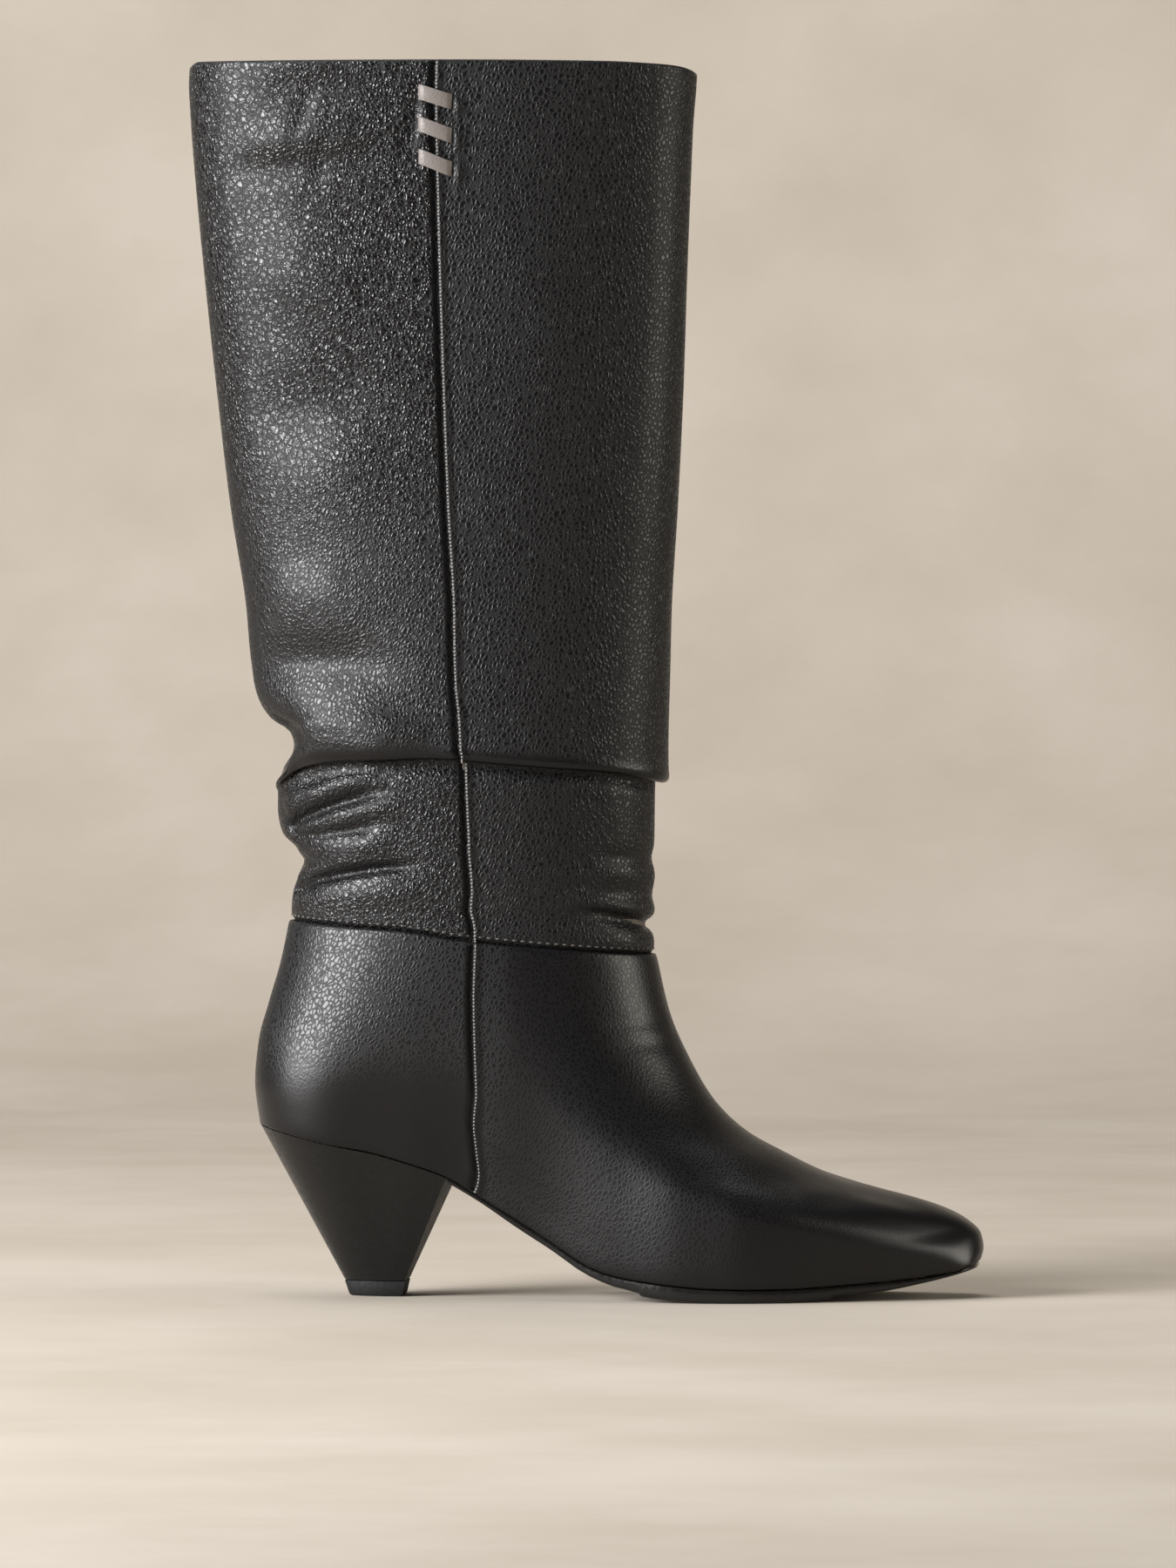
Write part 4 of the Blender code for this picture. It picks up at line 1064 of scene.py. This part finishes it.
def times(tree, first, second):
    """The product of two numbers or sockets."""
    return math_node(tree, "MULTIPLY", first, second)


def plus(tree, first, second):
    """The sum of two numbers or sockets."""
    return math_node(tree, "ADD", first, second)


def own_number(tree, name):
    """A number that the mesh holds for each of its points."""
    made = tree.nodes.new("ShaderNodeAttribute")
    made.attribute_name = name
    return made.outputs["Fac"]


def noise(tree, place, scale, detail):
    """Cloudy noise at a place."""
    made = node(tree, "ShaderNodeTexNoise", Scale=scale, Detail=detail)
    tree.links.new(place, made.inputs["Vector"])
    return made


def blended(tree, share, first, second):
    """A number that goes from the first to the second by a share."""
    made = tree.nodes.new("ShaderNodeMix")
    tree.links.new(share, made.inputs["Factor"])
    tree.links.new(first, made.inputs["A"])
    tree.links.new(second, made.inputs["B"])
    return made.outputs["Result"]


def grained_leather(name, colour, roughness, depth):
    """Black leather: coarse cracked pebbles behind the seam, fine slanting ones before it, with
    painted shade in the cracks.
    """
    material, tree, shader = new_material(name)
    links = tree.links
    place = tree.nodes.new("ShaderNodeTexCoord").outputs["Object"]
    bend = tree.nodes.new("ShaderNodeVectorMath")
    bend.operation = "MULTIPLY_ADD"
    links.new(noise(tree, place, 420.0, 2.0).outputs["Color"], bend.inputs[0])
    bend.inputs[1].default_value = (0.9 * MM,) * 3
    links.new(place, bend.inputs[2])
    bent = bend.outputs[0]
    grain, coarse = own_number(tree, "grain"), own_number(tree, "coarse")
    small = pebbles(tree, bent, 1.35, 28.0, 1.5, 0.3)
    middling = pebbles(tree, bent, 1.35, -20.0, 1.15, 0.3)
    large = pebbles(tree, bent, 2.5, -35.0, 1.15, 0.15)
    cracked = plus(tree, times(tree, large, 0.65), times(tree, middling, 0.5))
    cells = blended(tree, coarse, small, cracked)
    relief = times(tree, grain, remap(tree, coarse, 0.0, 1.0, 0.4, 0.95))
    fine = noise(tree, place, 1500.0, 2.0).outputs["Fac"]
    height = plus(tree, times(tree, cells, relief), times(tree, fine, 0.05))
    waves = noise(tree, place, 70.0, 1.0).outputs["Fac"]
    swell = node(tree, "ShaderNodeBump", Strength=1.0, Distance=1.1 * depth * MM)
    links.new(times(tree, waves, grain), swell.inputs["Height"])
    bump = node(tree, "ShaderNodeBump", Strength=1.0, Distance=depth * MM)
    links.new(height, bump.inputs["Height"])
    links.new(swell.outputs["Normal"], bump.inputs["Normal"])
    links.new(bump.outputs["Normal"], shader.inputs["Normal"])
    cracks = times(tree, remap(tree, cells, 0.1, 0.8, 1.0, 0.0), relief)
    tops = remap(tree, cracks, 0.0, 1.0, 1.0, 0.0)
    # Painted shade: the cracks between the pebbles are coloured down to 0.4 of the leather's own
    # colour.
    crack_shade_colours = tree.nodes.new("ShaderNodeMix")
    crack_shade_colours.data_type = "RGBA"
    links.new(tops, crack_shade_colours.inputs["Factor"])
    crack_shade_colours.inputs["A"].default_value = (*(0.4 * part for part in colour), 1.0)
    crack_shade_colours.inputs["B"].default_value = (*colour, 1.0)
    links.new(crack_shade_colours.outputs["Result"], shader.inputs["Base Color"])
    dullness = remap(tree, cracks, 0.0, 0.6, roughness, roughness + 0.45)
    polish = remap(tree, coarse, 0.0, 1.0, 0.03, -0.07)
    links.new(plus(tree, dullness, polish), shader.inputs["Roughness"])
    shader.inputs["Specular IOR Level"].default_value = 0.27
    shader.inputs["Coat Weight"].default_value = 0.05
    shader.inputs["Coat Roughness"].default_value = 0.25
    return material


def plain_finish(name, colour, roughness, scale, depth):
    """A finish with a fine uneven surface."""
    material, tree, shader = new_material(name)
    place = tree.nodes.new("ShaderNodeTexCoord").outputs["Object"]
    uneven = noise(tree, place, scale, 4.0).outputs["Fac"]
    bump = node(tree, "ShaderNodeBump", Strength=0.6, Distance=depth * MM)
    tree.links.new(uneven, bump.inputs["Height"])
    tree.links.new(bump.outputs["Normal"], shader.inputs["Normal"])
    shader.inputs["Base Color"].default_value = (*colour, 1.0)
    tree.links.new(remap(tree, uneven, 0.3, 0.7, roughness - 0.05, roughness + 0.07),
                   shader.inputs["Roughness"])
    shader.inputs["Specular IOR Level"].default_value = 0.28
    return material


def backdrop_material():
    """Warm pale paper with faint clouds, clear from behind so that the boot's back can be seen."""
    material, tree, shader = new_material("pale backdrop")
    place = tree.nodes.new("ShaderNodeTexCoord").outputs["Object"]
    clouds = noise(tree, place, 5.0, 6.0)
    clouds.inputs["Roughness"].default_value = 0.6
    ramp = tree.nodes.new("ShaderNodeValToRGB")
    tones = ((0.35, (0.342, 0.302, 0.253, 1.0)), (0.65, (0.392, 0.353, 0.304, 1.0)))
    for element, (position, tone) in zip(ramp.color_ramp.elements, tones):
        element.position = position
        element.color = tone
    tree.links.new(clouds.outputs["Fac"], ramp.inputs["Fac"])
    tree.links.new(ramp.outputs["Color"], shader.inputs["Base Color"])
    shader.inputs["Roughness"].default_value = 0.9
    shader.inputs["Specular IOR Level"].default_value = 0.1
    behind = tree.nodes.new("ShaderNodeNewGeometry").outputs["Backfacing"]
    tree.links.new(remap(tree, behind, 0.0, 1.0, 1.0, 0.0), shader.inputs["Alpha"])
    return material


def make_backdrop():
    """Floor that sweeps up into a backdrop, facing the camera."""
    bm = bmesh.new()
    bmesh.ops.create_grid(bm, x_segments=2, y_segments=72, size=1.0)
    bend_start = BACKDROP_BACK - BACKDROP_RADIUS
    straight = bend_start - BACKDROP_FRONT
    turn = BACKDROP_RADIUS * pi / 2
    for vert in bm.verts:
        reach = (vert.co.y + 1) / 2 * (straight + turn + BACKDROP_HEIGHT)
        angle = min(max((reach - straight) / BACKDROP_RADIUS, 0.0), pi / 2)
        vert.co = (vert.co.x * BACKDROP_HALF_WIDTH,
                   BACKDROP_FRONT + min(reach, straight) + BACKDROP_RADIUS * sin(angle),
                   BACKDROP_RADIUS * (1 - cos(angle)) + max(reach - straight - turn, 0.0))
    bm.normal_update()
    if min(bm.faces, key=lambda face: face.calc_center_median().y).normal.z < 0:
        bmesh.ops.reverse_faces(bm, faces=bm.faces)
    mesh = bpy.data.meshes.new("backdrop")
    bm.to_mesh(mesh)
    bm.free()
    mesh.shade_smooth()
    mesh.materials.append(backdrop_material())
    backdrop = bpy.data.objects.new("backdrop", mesh)
    bpy.context.scene.collection.objects.link(backdrop)


def make_light(name, spot, target, size, power, colour):
    """A rectangular soft light aimed at a point."""
    data = bpy.data.lights.new(name, "AREA")
    data.shape = "RECTANGLE"
    data.size, data.size_y = size
    data.energy = power
    data.color = colour
    light = bpy.data.objects.new(name, data)
    light.location = spot
    light.rotation_mode = "QUATERNION"
    light.rotation_quaternion = (Vector(target) - Vector(spot)).to_track_quat("-Z", "Y")
    bpy.context.scene.collection.objects.link(light)


def make_lights():
    """Soft key from the heel's side, one light over the backdrop, a weak one from the toe's side."""
    middle = (0.0, 0.0, 0.2)
    make_light("key", (-1.62, -1.08, 0.74), middle, (1.2, 1.05), 144.0, (0.99, 0.99, 1.0))
    make_light("top", (-0.5, 0.9, 2.6), (0.0, 1.5, 0.2), (3.0, 1.6), 57.0, (1.0, 0.985, 0.97))
    make_light("side", (2.2, -0.35, 0.7), middle, (1.0, 1.1), 32.0, (1.0, 0.95, 0.86))
    world = bpy.data.worlds.new("pale room")
    world.use_nodes = True
    shade = world.node_tree.nodes["Background"]
    shade.inputs["Color"].default_value = (0.86, 0.80, 0.70, 1.0)
    shade.inputs["Strength"].default_value = 0.02
    bpy.context.scene.world = world


def make_camera():
    """Camera at the photograph's angle and crop, 4.5 m away."""
    data = bpy.data.cameras.new("camera")
    data.sensor_fit = "VERTICAL"
    data.sensor_height = 36.0
    data.lens = CAMERA_LENS
    camera = bpy.data.objects.new("camera", data)
    azimuth = radians(CAMERA_AZIMUTH)
    camera.location = (CAMERA_TARGET.x + CAMERA_DISTANCE * sin(azimuth),
                       CAMERA_TARGET.y - CAMERA_DISTANCE * cos(azimuth), CAMERA_HEIGHT)
    camera.rotation_mode = "QUATERNION"
    camera.rotation_quaternion = (CAMERA_TARGET - camera.location).to_track_quat("-Z", "Y")
    bpy.context.scene.collection.objects.link(camera)
    bpy.context.scene.camera = camera


boot_shift = Vector((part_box("outsole")[0].x / MM - BREAST_TOP - 0.5,
                     (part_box("top_piece")[0].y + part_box("top_piece")[1].y) / 2 / MM, 0.0))

shaft_finish = grained_leather("black pebbled leather", (0.0034, 0.0032, 0.0036), 0.27, 0.33)
foot_finish = grained_leather("black fine leather", (0.0032, 0.003, 0.0034), 0.3, 0.17)
lining_finish = plain_finish("dark lining", (0.10, 0.085, 0.07), 0.7, 900.0, 0.1)
# Painted highlight: the seam stitches are light grey, for the light caught on the front panel's
# raised edge.
seam_highlight_finish = plain_finish("seam stitches with painted edge highlight", (0.17, 0.165, 0.16), 0.4, 2500.0, 0.05)
thread_finish = plain_finish("black thread", (0.06, 0.057, 0.054), 0.4, 2500.0, 0.05)
sole_finish = plain_finish("black sole edge", (0.008, 0.0075, 0.007), 0.2, 600.0, 0.03)
heel_finish = plain_finish("heel leather", (0.005, 0.0048, 0.0046), 0.34, 600.0, 0.2)
# Painted reflection: the breast's olive-brown is a warm reflection on near-black leather.
breast_reflection_finish = plain_finish("heel breast with painted reflection", (0.02, 0.018, 0.012), 0.6, 700.0, 0.1)
rubber_finish = plain_finish("black rubber", (0.002, 0.002, 0.002), 0.75, 900.0, 0.04)
thong_finish = plain_finish("taupe thong leather", (0.12, 0.104, 0.096), 0.45, 1100.0, 0.25)
insole_finish = plain_finish("insole lining", (0.30, 0.25, 0.20), 0.7, 900.0, 0.06)

shaft_points = make_shaft([shaft_finish, lining_finish])
foot_points = make_foot([foot_finish, lining_finish])
make_seam_stitches(shaft_points, foot_points, seam_highlight_finish)
make_ankle_stitches(shaft_points, thread_finish)
make_sole(sole_finish)
make_heel(heel_finish, breast_reflection_finish)
make_top_piece(rubber_finish)
make_thong(thong_finish)
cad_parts["insole"].data.materials.clear()
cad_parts["insole"].data.materials.append(insole_finish)

make_backdrop()
make_lights()
make_camera()
bpy.context.scene.view_settings.view_transform = "Standard"
